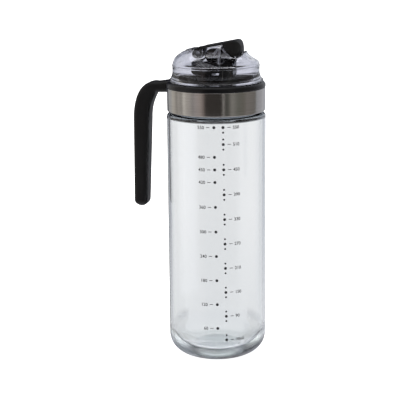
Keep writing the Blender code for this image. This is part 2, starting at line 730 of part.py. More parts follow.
def build_dome():
    base = seat()
    tongue_out = dome_radius() - DOME_WALL + DOME_TONGUE
    foot = [(tongue_out, base - DOME_TONGUE_DEPTH), (tongue_out, base)]
    foot += [(dome_foot_radius() - inward, base + rise) for inward, rise in DOME_FOOT_RINGS]
    foot += [(dome_radius() + FIT, base + DOME_FOOT_RISE)]
    dome = dome_skin("clear_dome", 0.0, 0.0, foot)
    finish(dome, clear_plastic(), 40.0)
    inner_foot = [(dome_radius() - DOME_WALL, base - DOME_TONGUE_DEPTH - CUT_PAST)]
    room = dome_skin("dome_room", DOME_WALL, roof_wall(), inner_foot)
    hinge = hinge_point()
    boss_in = KNUCKLE_HALF_WIDTH + RUNNING_FIT
    for side, label in ((1, "left"), (-1, "right")):
        ends = sorted((side * boss_in, side * (NOSE_HALF_WIDTH + BOSS_RADIUS)))
        outline = arc((hinge.x, hinge.z), (BOSS_RADIUS, BOSS_RADIUS), 180, 360, 10)
        outline += [(hinge.x + BOSS_RADIUS, roof(hinge.x)), (hinge.x - BOSS_RADIUS, roof(hinge.x))]
        cut(room, side_prism(f"boss_{label}", outline, ends[0], ends[1]))
    cut(dome, room)
    opening = side_prism("flap_opening", flap_room_outline(), -2 * NOSE_HALF_WIDTH, 2 * NOSE_HALF_WIDTH)
    cut(dome, opening)
    knuckle_room = rod_along_y("knuckle_room", hinge, knuckle_radius() + RUNNING_FIT,
                               -boss_in, boss_in, 32)
    cut(dome, knuckle_room)
    pin_bore = rod_along_y("pin_bore", hinge, PIN_RADIUS + FIT, -boss_in - PIN_OVERHANG - FIT,
                           boss_in + PIN_OVERHANG + FIT, 12)
    cut(dome, pin_bore)
    return dome


def build_seal():
    inner, outer = groove_radii()
    low = groove_floor() + FIT
    profile = [(outer - FIT, low), (outer - FIT, low + SEAL_THICKNESS), (inner + FIT, low + SEAL_THICKNESS),
               (inner + FIT, low)]
    return finish(turned("dome_seal", profile, 48, True), seal_silicone())


def hood_inner_face():
    return HOOD_FRONT - HOOD_WALL - FIT


def chute_tip_x():
    return hood_inner_face() - CHUTE_TIP_GAP


def core_outline():
    """Side view of the core: saddle-topped tray behind, upright channel and leaning chute in front."""
    base = seat()
    foot = base + FIT
    tip_x = chute_tip_x()
    saddle = [(-CORE_REAR, base + CORE_REAR_TOP)] + [(x, base + rise) for x, rise in CORE_SADDLE]
    saddle += [(CORE_FRONT - CORE_CORNER, base + CORE_FRONT_TOP),
               (CORE_FRONT, base + CORE_FRONT_TOP + CORE_CORNER_RISE), (tip_x, base + CHUTE_TIP)]
    front = [(tip_x, base + CHUTE_TIP - CHUTE_TIP_DEPTH), (CORE_FRONT, base + CHUTE_START),
             (CORE_FRONT, foot)]
    under = [(CHANNEL_BACK_X, foot), (CHANNEL_BACK_X, base + CORE_BRIDGE_FOOT),
             (CORE_TRAY_FRONT_X, base + CORE_BRIDGE_FOOT), (CORE_TRAY_FRONT_X, base + CORE_TRAY_FOOT),
             (CORE_BACK_FOOT_X, base + CORE_TRAY_FOOT), (-CORE_REAR, base + CORE_BACK_FOOT)]
    return saddle + front + under


def pad_seat():
    """Height of the shelf that the stopper pad closes on."""
    return lower_flat() - PAD_THICKNESS - 2 * FIT


def tray_outline():
    """Side view of the hollow over the drip tray and behind the channel."""
    base = seat()
    inside_back = -CORE_REAR + CORE_WALL
    floor = base + CORE_TRAY_FOOT + CORE_WALL
    bridge = base + CORE_BRIDGE_FOOT + CORE_WALL
    return [(inside_back, roof(0)), (inside_back, base + CORE_BACK_FOOT + FIT),
            (CORE_BACK_FOOT_X + CORE_WALL / 2, floor), (CORE_TRAY_FRONT_X - CORE_WALL, floor),
            (CORE_TRAY_FRONT_X - CORE_WALL, bridge), (CHANNEL_BACK_X, bridge), (CHANNEL_BACK_X, roof(0))]


def throat_outline():
    """Side view of the hollow over the pad's shelf, leaning out to the chute's tip."""
    start = seat() + CHUTE_START - CORE_WALL / 2
    front = CORE_FRONT - CORE_WALL
    lean = (CHUTE_TIP - CHUTE_START) / (chute_tip_x() - front)
    past = chute_tip_x() + CUT_PAST
    return [(CHANNEL_BACK_X, pad_seat()), (front, pad_seat()), (front, start),
            (past, start + (past - front) * lean), (past, roof(0)), (CHANNEL_BACK_X, roof(0))]


def build_core():
    base, low = seat(), cap_ceiling()
    core = side_prism("pour_core", core_outline(), -CORE_HALF_WIDTH, CORE_HALF_WIDTH)
    finish(core, core_black())
    half = CHANNEL_BORE_HALF_WIDTH
    join(core, block("pour_spigot", spigot_span(), (-half - SPIGOT_WALL, half + SPIGOT_WALL),
                     (low, base + CORE_WALL)))
    join(core, upright_rod("drain_tube", DRAIN_X, DRAIN_RADIUS + SPIGOT_WALL, low,
                           base + CORE_TRAY_FOOT + FIT, 16))
    plan = nose_plan(-NOSE_REAR, NOSE_FRONT - DOME_WALL - FIT, CORE_HALF_WIDTH + FIT,
                     NOSE_REAR_ROUND - DOME_WALL, NOSE_FRONT_ROUND - DOME_WALL)
    keep_inside(core, column("core_plan", plan, low - CUT_PAST, roof(NOSE_FRONT)))
    for side, label in ((1, "left"), (-1, "right")):
        across = sorted((side * CHUTE_HALF_WIDTH, side * (CORE_HALF_WIDTH + CUT_PAST)))
        cut(core, block(f"chute_trim_{label}", (CORE_FRONT, NOSE_FRONT), across,
                        (base + CHUTE_START - CUT_PAST, roof(NOSE_FRONT))))
    inner = CORE_HALF_WIDTH - CORE_WALL
    cut(core, side_prism("tray_room", tray_outline(), -inner, inner))
    throat_half = CHUTE_HALF_WIDTH - CORE_WALL / 2
    cut(core, side_prism("throat_room", throat_outline(), -throat_half, throat_half))
    shelf_x = (CHANNEL_BACK_X - FIT, CORE_FRONT - CORE_WALL - FIT)
    cut(core, block("pad_room", shelf_x, (-inner, inner), (pad_seat(), roof(0))))
    cut(core, block("pour_bore", pour_bore_span(), (-half, half), (low - CUT_PAST, pad_seat() + CUT_PAST)))
    cut(core, upright_rod("drain_bore", DRAIN_X, DRAIN_RADIUS, low - CUT_PAST,
                          base + CORE_TRAY_FOOT + CORE_WALL + CUT_PAST, 16))
    return core


def knuckle_radius():
    """The knuckle's back just meets the roof line."""
    return HINGE_DROP * math.cos(math.atan(ROOF_SLOPE))


def lower_flat():
    """Height of the flat under the weight, which the pad lies against."""
    return seat() + WEIGHT_HEIGHT - WEIGHT_RADIUS + WEIGHT_FLAT


def upper_flat():
    return seat() + WEIGHT_HEIGHT + WEIGHT_RADIUS - WEIGHT_FLAT


def flap_outline():
    """Side view of the flap's strip and hood."""
    chin = seat() + HOOD_CHIN
    face = [(HOOD_FRONT - back, roof(HOOD_FRONT) - below) for back, below in HOOD_FACE[:-1]]
    top_x = HOOD_FRONT - HOOD_FACE[-1][0]
    return [(STRIP_REAR_X, roof(STRIP_REAR_X)), (STRIP_REAR_X, roof(STRIP_REAR_X) - STRIP_THICKNESS),
            (HOOD_REAR_TOP_X, roof(HOOD_REAR_TOP_X) - STRIP_THICKNESS),
            (HOOD_REAR_FOOT_X, seat() + HOOD_REAR_FOOT), (HOOD_CHEEK_X, seat() + HOOD_CHEEK_FOOT),
            (HOOD_FRONT - HOOD_CHIN_ROUND, chin - HOOD_CHIN_ROUND),
            (HOOD_FRONT, chin + 2 * HOOD_CHIN_ROUND)] + face + [(top_x, roof(top_x))]


def hood_room():
    """The hollow inside the hood, over the weight and the pouring mouth."""
    base = seat()
    rear = HOOD_REAR_TOP_X - HOOD_ROOM_REAR
    face_x = HOOD_FRONT - HOOD_ROOM_FACE[0][0] - CUT_PAST
    face = [(HOOD_FRONT - back, roof(HOOD_FRONT) - below) for back, below in HOOD_ROOM_FACE]
    outline = [(rear, base), (rear, roof(rear) - HOOD_WALL), (face_x, roof(face_x) - HOOD_WALL)]
    outline += face + [(HOOD_FRONT - HOOD_WALL / 2, base)]
    plan = nose_plan(rear + CUT_PAST, hood_inner_face(), HOOD_HALF_WIDTH - HOOD_WALL,
                     CUT_PAST, HOOD_FRONT_ROUND - HOOD_WALL)
    room = side_prism("hood_room", outline, -HOOD_HALF_WIDTH, HOOD_HALF_WIDTH)
    keep_inside(room, column("hood_room_plan", plan, base - CUT_PAST, roof(NOSE_FRONT)))
    return room


def knuckle_outline():
    """Side view of the flap's knuckle, which runs up into the strip."""
    hinge, radius = hinge_point(), knuckle_radius()
    front = WEIGHT_REAR_X - FIT - RUNNING_FIT
    inside = STRIP_REAR_X + radius
    return (arc((hinge.x, hinge.z), (radius, radius), 90 + math.degrees(math.atan(ROOF_SLOPE)), 300, 14)
            + [(front, hinge.z - radius / 3), (front, roof(front) - STRIP_THICKNESS - RUNNING_FIT),
               (inside, roof(inside) - STRIP_THICKNESS / 2),
               (STRIP_REAR_X + FIT, roof(STRIP_REAR_X + FIT) - FIT),
               (STRIP_REAR_X - FIT, roof(STRIP_REAR_X - FIT))])


def build_flap():
    base = seat()
    flap = side_prism("flap", flap_outline(), -2 * HOOD_HALF_WIDTH, 2 * HOOD_HALF_WIDTH)
    finish(flap, flap_black())
    plan = nose_plan(-NOSE_REAR, HOOD_FRONT + FIT, HOOD_HALF_WIDTH, NOSE_REAR_ROUND, HOOD_FRONT_ROUND)
    keep_inside(flap, column("hood_plan", plan, base, roof(NOSE_FRONT) + CUT_PAST))
    cut(flap, hood_room())
    join(flap, side_prism("knuckle", knuckle_outline(), -KNUCKLE_HALF_WIDTH, KNUCKLE_HALF_WIDTH))
    cut(flap, rod_along_y("knuckle_bore", hinge_point(), PIN_RADIUS + FIT, -2 * KNUCKLE_HALF_WIDTH,
                          2 * KNUCKLE_HALF_WIDTH, 12))
    boss_low = upper_flat() + FIT
    join(flap, upright_rod("screw_boss", SCREW_X, SCREW_RADIUS + FIT + BOSS_WALL, boss_low,
                           roof(SCREW_X) - HOOD_WALL / 2, 16))
    cut(flap, upright_rod("boss_bore", SCREW_X, SCREW_RADIUS + FIT, boss_low - CUT_PAST,
                          boss_low + SCREW_BITE + FIT, 12))
    return flap


def build_pin():
    hinge = hinge_point()
    half = KNUCKLE_HALF_WIDTH + RUNNING_FIT + PIN_OVERHANG
    pin = rod_along_y("hinge_pin", hinge, PIN_RADIUS, -half, half, 16)
    return finish(pin, pin_steel())


def build_weight():
    rear, front = WEIGHT_REAR_X, WEIGHT_FRONT_X
    middle = seat() + WEIGHT_HEIGHT
    end = WEIGHT_END_ROUND
    flat_end = WEIGHT_RADIUS - end
    outline = arc((rear + end, flat_end), (end, end), 180, 90, 4)
    outline += arc((front - end, flat_end), (end, end), 90, 0, 4)
    weight = turned("counterweight", [(r, x) for x, r in outline], SMALL_STEPS)
    turn = Matrix.Translation((0.0, 0.0, middle)) @ Matrix.Rotation(math.radians(90), 4, "Y")
    weight.data.transform(turn)
    finish(weight, bright_chrome(), 50.0)
    wide = 2 * WEIGHT_RADIUS
    low, high = lower_flat(), upper_flat()
    cut(weight, block("weight_floor", (rear - wide, front + wide), (-wide, wide), (low - wide, low)))
    cut(weight, block("weight_top", (SCREW_X - WEIGHT_RADIUS, front + wide), (-wide, wide),
                      (high, high + wide)))
    cut(weight, upright_rod("screw_hole", SCREW_X, SCREW_RADIUS + FIT, low - CUT_PAST, high + wide, 12))
    cut(weight, upright_rod("head_hole", SCREW_X, SCREW_HEAD_RADIUS + FIT, low - wide,
                            low + SCREW_HEAD_DEPTH + SCREW_HEAD_HEIGHT + FIT, 16))
    return weight


def build_screw():
    head = lower_flat() + SCREW_HEAD_DEPTH
    under = head + SCREW_HEAD_HEIGHT
    tip = upper_flat() + FIT + SCREW_BITE
    profile = [(SCREW_HEAD_RADIUS - SCREW_CHAMFER, head), (SCREW_HEAD_RADIUS, head + SCREW_CHAMFER),
               (SCREW_HEAD_RADIUS, under), (SCREW_RADIUS, under), (SCREW_RADIUS, tip - SCREW_CHAMFER),
               (SCREW_RADIUS - SCREW_CHAMFER, tip)]
    screw = turned("weight_screw", profile, 16)
    screw.data.transform(Matrix.Translation((SCREW_X, 0.0, 0.0)))
    return finish(screw, screw_steel())


def build_pad():
    high = lower_flat() - FIT
    low = high - PAD_THICKNESS
    pad = block("stopper_pad", (SCREW_X - PAD_LENGTH / 2, SCREW_X + PAD_LENGTH / 2),
                (-PAD_HALF_WIDTH, PAD_HALF_WIDTH), (low, high))
    finish(pad, pad_silicone())
    join(pad, upright_rod("pad_plug", SCREW_X, SCREW_HEAD_RADIUS, low + PAD_THICKNESS / 2,
                          high + SCREW_HEAD_DEPTH, 16))
    return pad


def main():
    for obj in list(bpy.data.objects):
        bpy.data.objects.remove(obj, do_unlink=True)
    build_bottle()
    lift = axis_empty("lift_axis", (0.0, 0.0, rim_height()))
    hang_on(build_gasket(), lift)
    head = axis_empty("head_axis", (0.0, 0.0, rim_height()), lift)
    for build in (build_cap, build_sleeve, build_handle, build_dome, build_seal, build_core, build_pin):
        hang_on(build(), head)
    hinge = axis_empty("flap_axis", hinge_point(), head)
    for build in (build_flap, build_weight, build_screw, build_pad):
        hang_on(build(), hinge)


main()
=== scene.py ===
"""Glass oil dispenser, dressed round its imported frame.

Each sub-assembly is a class that holds its sizes in metres and builds its own pieces, and each finish is a
frozen dataclass that builds one procedural material. +Z is up, the nose points to +X and the handle to -X.
"""

import functools
import json
import logging
import math
from collections.abc import Sequence
from dataclasses import dataclass, field
from enum import Enum

import bmesh
import bpy
from mathutils import Matrix, Vector


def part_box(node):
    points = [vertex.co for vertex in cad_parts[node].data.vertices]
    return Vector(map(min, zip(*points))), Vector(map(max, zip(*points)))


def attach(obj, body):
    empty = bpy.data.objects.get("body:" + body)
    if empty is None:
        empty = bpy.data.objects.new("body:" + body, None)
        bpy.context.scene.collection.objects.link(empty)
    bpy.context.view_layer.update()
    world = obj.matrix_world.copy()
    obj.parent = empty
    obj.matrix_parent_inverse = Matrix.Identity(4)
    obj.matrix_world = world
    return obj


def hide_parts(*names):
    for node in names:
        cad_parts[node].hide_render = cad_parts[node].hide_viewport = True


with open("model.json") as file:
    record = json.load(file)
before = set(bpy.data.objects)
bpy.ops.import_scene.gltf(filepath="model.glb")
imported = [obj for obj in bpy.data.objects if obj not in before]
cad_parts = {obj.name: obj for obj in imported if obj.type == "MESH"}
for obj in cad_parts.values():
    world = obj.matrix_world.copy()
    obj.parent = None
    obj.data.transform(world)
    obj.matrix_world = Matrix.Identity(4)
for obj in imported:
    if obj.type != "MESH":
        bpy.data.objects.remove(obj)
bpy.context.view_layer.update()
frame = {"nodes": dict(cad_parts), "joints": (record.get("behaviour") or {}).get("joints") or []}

log = logging.getLogger("oil_dispenser")

Point = tuple[float, float]
Place = tuple[float, float, float]
Ring = list[Place]
Colour = tuple[float, float, float]

FIT = 0.0003                 # gap between faces that bear on each other
RUNNING_FIT = 0.0004         # gap round a piece that moves
CUT_PAST = 0.0012            # how far a cutter runs past the face that it opens
ROUND_STEPS = 192
DOME_STEPS = 180
NOISE_RANGE = (0.3, 0.7)     # span in which nearly all values of a noise lie


class Body(Enum):
    """Bodies of the frame that the scene's pieces ride on."""

    BOTTLE = "bottle"
    HEAD = "head"
    FLAP = "flap_group"


class Operation(Enum):
    """What a boolean step does to a solid."""

    CUT = "DIFFERENCE"
    JOIN = "UNION"
    KEEP = "INTERSECT"


def arc(centre: Point, radii: Point | float, start: float, end: float, steps: int) -> list[Point]:
    """Points of a round or elliptical arc.

    Args:
        centre: Its middle.
        radii: Its radius, or its two half-widths.
        start: First angle in degrees, counter-clockwise from the first axis.
        end: Last angle in degrees.
        steps: Number of stretches between the points.

    Returns:
        The points from start to end.
    """
    across, along = (radii, radii) if isinstance(radii, float) else radii
    angles = [math.radians(start + (end - start) * i / steps) for i in range(steps + 1)]
    return [(centre[0] + across * math.cos(a), centre[1] + along * math.sin(a)) for a in angles]


def curved(start: Point, middle: Point, end: Point, steps: int) -> list[Point]:
    """Points of a soft curve that leaves start towards middle and arrives at end from it.

    Args:
        start: First point.
        middle: Point that pulls the curve.
        end: Last point.
        steps: Number of stretches.

    Returns:
        The points from start to end.
    """
    shares = [i / steps for i in range(steps + 1)]
    return [tuple((1 - t) ** 2 * a + 2 * t * (1 - t) * b + t * t * c for a, b, c in zip(start, middle, end))
            for t in shares]


def eased(value: float) -> float:
    """Soft step from 0 to 1."""
    value = min(1.0, max(0.0, value))
    return value * value * (3 - 2 * value)


def around(radius: float, angle: float, height: float) -> Place:
    """Point at a distance from the axis, a direction in radians and a height."""
    return radius * math.cos(angle), radius * math.sin(angle), height


def circle(steps: int) -> list[float]:
    """Directions in radians, spread evenly round the axis."""
    return [2 * math.pi * i / steps for i in range(steps)]


def in_scene(name: str, data: bpy.types.ID) -> bpy.types.Object:
    """Make an object and link it to the scene.

    Args:
        name: Name of the object.
        data: Its mesh, text, lamp or camera.

    Returns:
        The object.
    """
    item = bpy.data.objects.new(name, data)
    bpy.context.scene.collection.objects.link(item)
    return item


def meshed(name: str, bm: bmesh.types.BMesh) -> bpy.types.Object:
    """Make an object of a finished edit mesh, with its faces turned outwards.

    Args:
        name: Name of the object.
        bm: The edit mesh, which is used up.

    Returns:
        The object.
    """
    bmesh.ops.recalc_face_normals(bm, faces=bm.faces)
    mesh = bpy.data.meshes.new(name)
    bm.to_mesh(mesh)
    bm.free()
    return in_scene(name, mesh)


def along_rows(rows: Sequence[Point], share: float) -> Point:
    """Smooth in-between of a short table of points.

    Args:
        rows: Table rows, evenly spread from share 0 to 1.
        share: Place in the table.

    Returns:
        The point on the smooth line through the rows.
    """
    place = share * (len(rows) - 1)
    i = min(int(place), len(rows) - 2)
    t = place - i
    a, b, c, d = (rows[min(max(k, 0), len(rows) - 1)] for k in (i - 1, i, i + 1, i + 2))
    return tuple(0.5 * (2 * q + (r - p) * t + (2 * p - 5 * q + 4 * r - s) * t * t
                        + (3 * q - p - 3 * r + s) * t ** 3) for p, q, r, s in zip(a, b, c, d))


def bar_plan(rear: float, front: float, half: float, rear_round: float, front_round: float,
             steps: int = 16) -> list[Point]:
    """Plan of a bar along X with rounded corners.

    Args:
        rear: X of its rear end.
        front: X of its front end.
        half: Half its width.
        rear_round: Radius of the rear corners.
        front_round: Radius of the front corners.
        steps: Stretches in each corner.

    Returns:
        Its corners, counter-clockwise.
    """
    front_x, front_y = front - front_round, half - front_round
    rear_x, rear_y = rear + rear_round, half - rear_round
    return (arc((front_x, -front_y), front_round, -90, 0, steps)
            + arc((front_x, front_y), front_round, 0, 90, steps)
            + arc((rear_x, rear_y), rear_round, 90, 180, steps)
            + arc((rear_x, -rear_y), rear_round, 180, 270, steps))


def reach_of_plan(outline: Sequence[Point], angle: float) -> float:
    """Distance from the axis to a plan's outline along one direction.

    Args:
        outline: Corners of the plan.
        angle: Direction in radians.

    Returns:
        The distance, or 0 where the outline isn't met.
    """
    towards = Vector((math.cos(angle), math.sin(angle)))
    for (ax, ay), (bx, by) in zip(outline, list(outline[1:]) + [outline[0]]):
        edge = Vector((bx - ax, by - ay))
        facing = towards.x * edge.y - towards.y * edge.x
        if abs(facing) < 1e-12:
            continue
        distance = (ax * edge.y - ay * edge.x) / facing
        across = (ax * towards.y - ay * towards.x) / facing
        if distance > 0 and -1e-9 <= across <= 1 + 1e-9:
            return distance
    return 0.0


class Solid:
    """Closed mesh in the frame's coordinates, worked on step by step until it is dressed."""

    def __init__(self, name: str, rings: Sequence[Ring], ring_shaped: bool = False) -> None:
        """Skin rings of points into a closed mesh.

        Args:
            name: Name of the piece or cutter.
            rings: Rings with equal numbers of points, from one end to the other.
            ring_shaped: True where the last ring joins the first instead of both being closed flat.
        """
        bm = bmesh.new()
        loops = [[bm.verts.new(point) for point in ring] for ring in rings]
        following = loops[1:] + loops[:1] if ring_shaped else loops[1:]
        for low, high in zip(loops, following):
            for i, corner in enumerate(low):
                j = (i + 1) % len(low)
                bm.faces.new((corner, low[j], high[j], high[i]))
        if not ring_shaped:
            bm.faces.new(loops[0])
            bm.faces.new(loops[-1])
        self.piece = meshed(name, bm)

    @classmethod
    def turned(cls, name: str, profile: Sequence[Point], steps: int = ROUND_STEPS,
               ring_shaped: bool = False) -> "Solid":
        """Solid of a profile turned about Z."""
        return cls(name, [[around(r, a, z) for a in circle(steps)] for r, z in profile], ring_shaped)

    @classmethod
    def side_prism(cls, name: str, outline: Sequence[Point], low: float, high: float) -> "Solid":
        """Solid of an (x, z) outline between two planes square to Y."""
        return cls(name, [[(x, y, z) for x, z in outline] for y in (low, high)])

    @classmethod
    def column(cls, name: str, outline: Sequence[Point], low: float, high: float) -> "Solid":
        """Solid of an (x, y) outline between two levels."""
        return cls(name, [[(x, y, z) for x, y in outline] for z in (low, high)])

    @classmethod
    def block(cls, name: str, x: Sequence[float], y: Sequence[float], z: Sequence[float]) -> "Solid":
        """Box-shaped cutter or web between three pairs of limits."""
        return cls.column(name, [(x[0], y[0]), (x[1], y[0]), (x[1], y[1]), (x[0], y[1])], z[0], z[1])

    @classmethod
    def rod(cls, name: str, centre: Point, radius: float, low: float, high: float, along_y: bool = False,
            steps: int = 48) -> "Solid":
        """Round rod, upright or lying along Y."""
        outline = arc(centre, radius, 0, 360 - 360 / steps, steps - 1)
        return cls.side_prism(name, outline, low, high) if along_y else cls.column(name, outline, low, high)

    def _bake(self) -> None:
        """Bake the piece's modifiers into its mesh."""
        graph = bpy.context.evaluated_depsgraph_get()
        done = bpy.data.meshes.new_from_object(self.piece.evaluated_get(graph))
        self.piece.modifiers.clear()
        before = self.piece.data
        self.piece.data = done
        bpy.data.meshes.remove(before)

    def combine(self, tool: "Solid", operation: Operation) -> "Solid":
        """Cut, join or clip by another solid, which is used up.

        Args:
            tool: The other solid.
            operation: What it does to this one.

        Returns:
            This solid.
        """
        step = self.piece.modifiers.new(tool.piece.name, "BOOLEAN")
        step.operation = operation.value
        step.solver = "EXACT"
        step.object = tool.piece
        self._bake()
        bpy.data.objects.remove(tool.piece, do_unlink=True)
        return self

    def cut(self, tool: "Solid") -> "Solid":
        """Take another solid out of this one."""
        return self.combine(tool, Operation.CUT)

    def join(self, tool: "Solid") -> "Solid":
        """Grow this solid by another one."""
        return self.combine(tool, Operation.JOIN)

    def keep(self, tool: "Solid") -> "Solid":
        """Keep only what lies inside another solid."""
        return self.combine(tool, Operation.KEEP)

    def move(self, matrix: Matrix) -> "Solid":
        """Place the mesh by a matrix."""
        self.piece.data.transform(matrix)
        return self

    def soften(self, width: float, segments: int = 2, angle: float = 35.0) -> "Solid":
        """Round the sharp edges.

        Args:
            width: Width of the rounding.
            segments: Faces across it.
            angle: Edges sharper than this, in degrees, are rounded.

        Returns:
            This solid.
        """
        step = self.piece.modifiers.new("soft_edges", "BEVEL")
        step.width = width
        step.segments = segments
        step.limit_method = "ANGLE"
        step.angle_limit = math.radians(angle)
        self._bake()
        return self

    def dress(self, finish: "Finish", body: Body, node: str = "", slot: str = "",
              smooth_angle: float = 35.0) -> bpy.types.Object:
        """Give the piece its finish and its place in the frame.

        Args:
            finish: Its finish.
            body: The body it rides on.
            node: The CAD node it stands for, if any.
            slot: The record's material slot; not used.
            smooth_angle: Edges sharper than this, in degrees, stay crisp.

        Returns:
            The finished object.
        """
        dressed(self.piece, finish, smooth_angle)
        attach(self.piece, body.value)
        if node:
            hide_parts(node)
        log.info("%s: %d faces, rides on %s, stands for %s", self.piece.name,
                 len(self.piece.data.polygons), body.value, node or "no node")
        return self.piece


def dressed(piece: bpy.types.Object, finish: "Finish", smooth_angle: float = 35.0) -> None:
    """Put a finish on an object and shade it smooth.

    Args:
        piece: The object.
        finish: Its finish.
        smooth_angle: Edges sharper than this, in degrees, stay crisp.
    """
    piece.data.materials.clear()
    piece.data.materials.append(finish.material())
    piece.data.shade_smooth()
    piece.data.set_sharp_from_angle(angle=math.radians(smooth_angle))


class NodeGraph:
    """Node tree that is built up node by node."""

    def __init__(self, tree: bpy.types.NodeTree) -> None:
        """Work on a tree."""
        self.tree = tree

    def add(self, kind: str, **settings: object) -> bpy.types.Node:
        """Add a node.

        Args:
            kind: Its type, without the common prefix.
            settings: Properties to set on it.

        Returns:
            The node.
        """
        node = self.tree.nodes.new("ShaderNode" + kind)
        for name, value in settings.items():
            setattr(node, name, value)
        return node

    def link(self, source: bpy.types.NodeSocket, target: bpy.types.NodeSocket) -> None:
        """Join two sockets."""
        self.tree.links.new(source, target)

    def mixed(self, factor: bpy.types.NodeSocket, first: bpy.types.NodeSocket | Colour,
              second: bpy.types.NodeSocket | Colour) -> bpy.types.NodeSocket:
        """Mix two colours.

        Args:
            factor: 0 for the first, 1 for the second.
            first: A colour or its socket.
            second: A colour or its socket.

        Returns:
            The mixed colour.
        """
        mix = self.add("Mix", data_type="RGBA")
        self.link(factor, mix.inputs["Factor"])
        for name, colour in (("A", first), ("B", second)):
            target = next(s for s in mix.inputs if s.name == name and s.type == "RGBA")
            if isinstance(colour, tuple):
                target.default_value = (*colour, 1.0)
            else:
                self.link(colour, target)
        return next(s for s in mix.outputs if s.type == "RGBA")

    def maths(self, operation: str, *values: bpy.types.NodeSocket | float) -> bpy.types.NodeSocket:
        """Calculate with values.

        Args:
            operation: What is calculated.
            values: Sockets or numbers, in order.

        Returns:
            The result.
        """
        node = self.add("Math", operation=operation)
        for value, target in zip(values, node.inputs):
            if isinstance(value, float):
                target.default_value = value
            else:
                self.link(value, target)
        return node.outputs[0]

    def mapped(self, value: bpy.types.NodeSocket, edges: Point, result: Point = (0.0, 1.0),
               interpolation: str = "LINEAR") -> bpy.types.NodeSocket:
        """Carry a value from one range to another.

        Args:
            value: What drives it.
            edges: The two ends of its own range.
            result: What it gives at those ends.
            interpolation: How it runs between them.

        Returns:
            The new value.
        """
        node = self.add("MapRange", interpolation_type=interpolation)
        ends = ("From Min", "From Max", "To Min", "To Max")
        for name, number in zip(ends, (*edges, *result)):
            node.inputs[name].default_value = number
        self.link(value, node.inputs["Value"])
        return node.outputs["Result"]

    def split(self, coordinates: str) -> bpy.types.Node:
        """Take texture coordinates apart.

        Args:
            coordinates: Kind of coordinates, such as Object or Generated.

        Returns:
            The node whose outputs are X, Y and Z.
        """
        parts = self.add("SeparateXYZ")
        self.link(self.add("TexCoord").outputs[coordinates], parts.inputs["Vector"])
        return parts


class Shading(NodeGraph):
    """Node tree of one material round its Principled shader."""

    def __init__(self, name: str) -> None:
        """Start a material.

        Args:
            name: The material's name.
        """
        self.material = bpy.data.materials.new(name)
        self.material.use_nodes = True
        super().__init__(self.material.node_tree)
        self.shader = self.tree.nodes["Principled BSDF"]

    def set(self, **values: float | Sequence[float]) -> None:
        """Set sockets of the Principled shader, with underscores for the spaces in their names."""
        for name, value in values.items():
            self.shader.inputs[name.replace("_", " ").title()].default_value = value

    def noise(self, scale: Place, detail: float = 3.0, roughness: float = 0.5) -> bpy.types.NodeSocket:
        """Noise in the object's own coordinates.

        Args:
            scale: Cycles per metre along X, Y and Z.
            detail: Octaves.
            roughness: Weight of the fine octaves.

        Returns:
            The noise value, from 0 to 1.
        """
        place = self.add("TexCoord")
        spread = self.add("Mapping")
        spread.inputs["Scale"].default_value = scale
        texture = self.add("TexNoise")
        texture.inputs["Scale"].default_value = 1.0
        texture.inputs["Detail"].default_value = detail
        texture.inputs["Roughness"].default_value = roughness
        self.link(place.outputs["Object"], spread.inputs["Vector"])
        self.link(spread.outputs["Vector"], texture.inputs["Vector"])
        return texture.outputs["Fac"]

    def ranged(self, value: bpy.types.NodeSocket, low: float, high: float) -> bpy.types.NodeSocket:
        """Stretch a noise value between two limits."""
        return self.mapped(value, NOISE_RANGE, (low, high))

    def ramped(self, value: bpy.types.NodeSocket, edges: Point, most: float = 1.0) -> bpy.types.NodeSocket:
        """Rise smoothly from nothing at one edge to the most at the other."""
        return self.mapped(value, edges, (0.0, most), "SMOOTHSTEP")

    def mottled(self, value: bpy.types.NodeSocket, first: Colour, second: Colour) -> None:
        """Drive the base colour between two colours.

        Args:
            value: What drives it.
            first: Colour where it is weak.
            second: Colour where it is strong.
        """
        ramp = self.add("ValToRGB")
        for element, position, colour in zip(ramp.color_ramp.elements, NOISE_RANGE, (first, second)):
            element.position = position
            element.color = (*colour, 1.0)
        self.link(value, ramp.inputs["Fac"])
        self.link(ramp.outputs["Color"], self.shader.inputs["Base Color"])

    def edged(self, edges: Point, tint: Colour) -> None:
        """Paint shade into the base colour where the surface turns away, standing in for the dark reflections
        at the edges.

        Args:
            edges: How far it has turned where that starts, and where it is full.
            tint: Colour of the painted shade at the turned edge.
        """
        base = self.shader.inputs["Base Color"].links[0].from_socket
        turned = self.ramped(self.add("LayerWeight").outputs["Facing"], edges)
        self.link(self.mixed(turned, base, tint), self.shader.inputs["Base Color"])

    def rough(self, value: bpy.types.NodeSocket, low: float, high: float) -> None:
        """Drive the roughness between two limits."""
        self.link(self.ranged(value, low, high), self.shader.inputs["Roughness"])

    def bump(self, *heights: tuple[bpy.types.NodeSocket, float]) -> None:
        """Chain bumps onto the shader's normal.

        Args:
            heights: Pairs of a height value and its depth in metres.
        """
        last = None
        for height, depth in heights:
            node = self.add("Bump")
            node.inputs["Distance"].default_value = depth
            self.link(height, node.inputs["Height"])
            if last:
                self.link(last.outputs["Normal"], node.inputs["Normal"])
            last = node
        self.link(last.outputs["Normal"], self.shader.inputs["Normal"])


@dataclass(frozen=True)
class Finish:
    """What every finish has: a name and the record's slot for it."""

    name: str
    slot: str

    def material(self) -> bpy.types.Material:
        """Build the material."""
        raise NotImplementedError


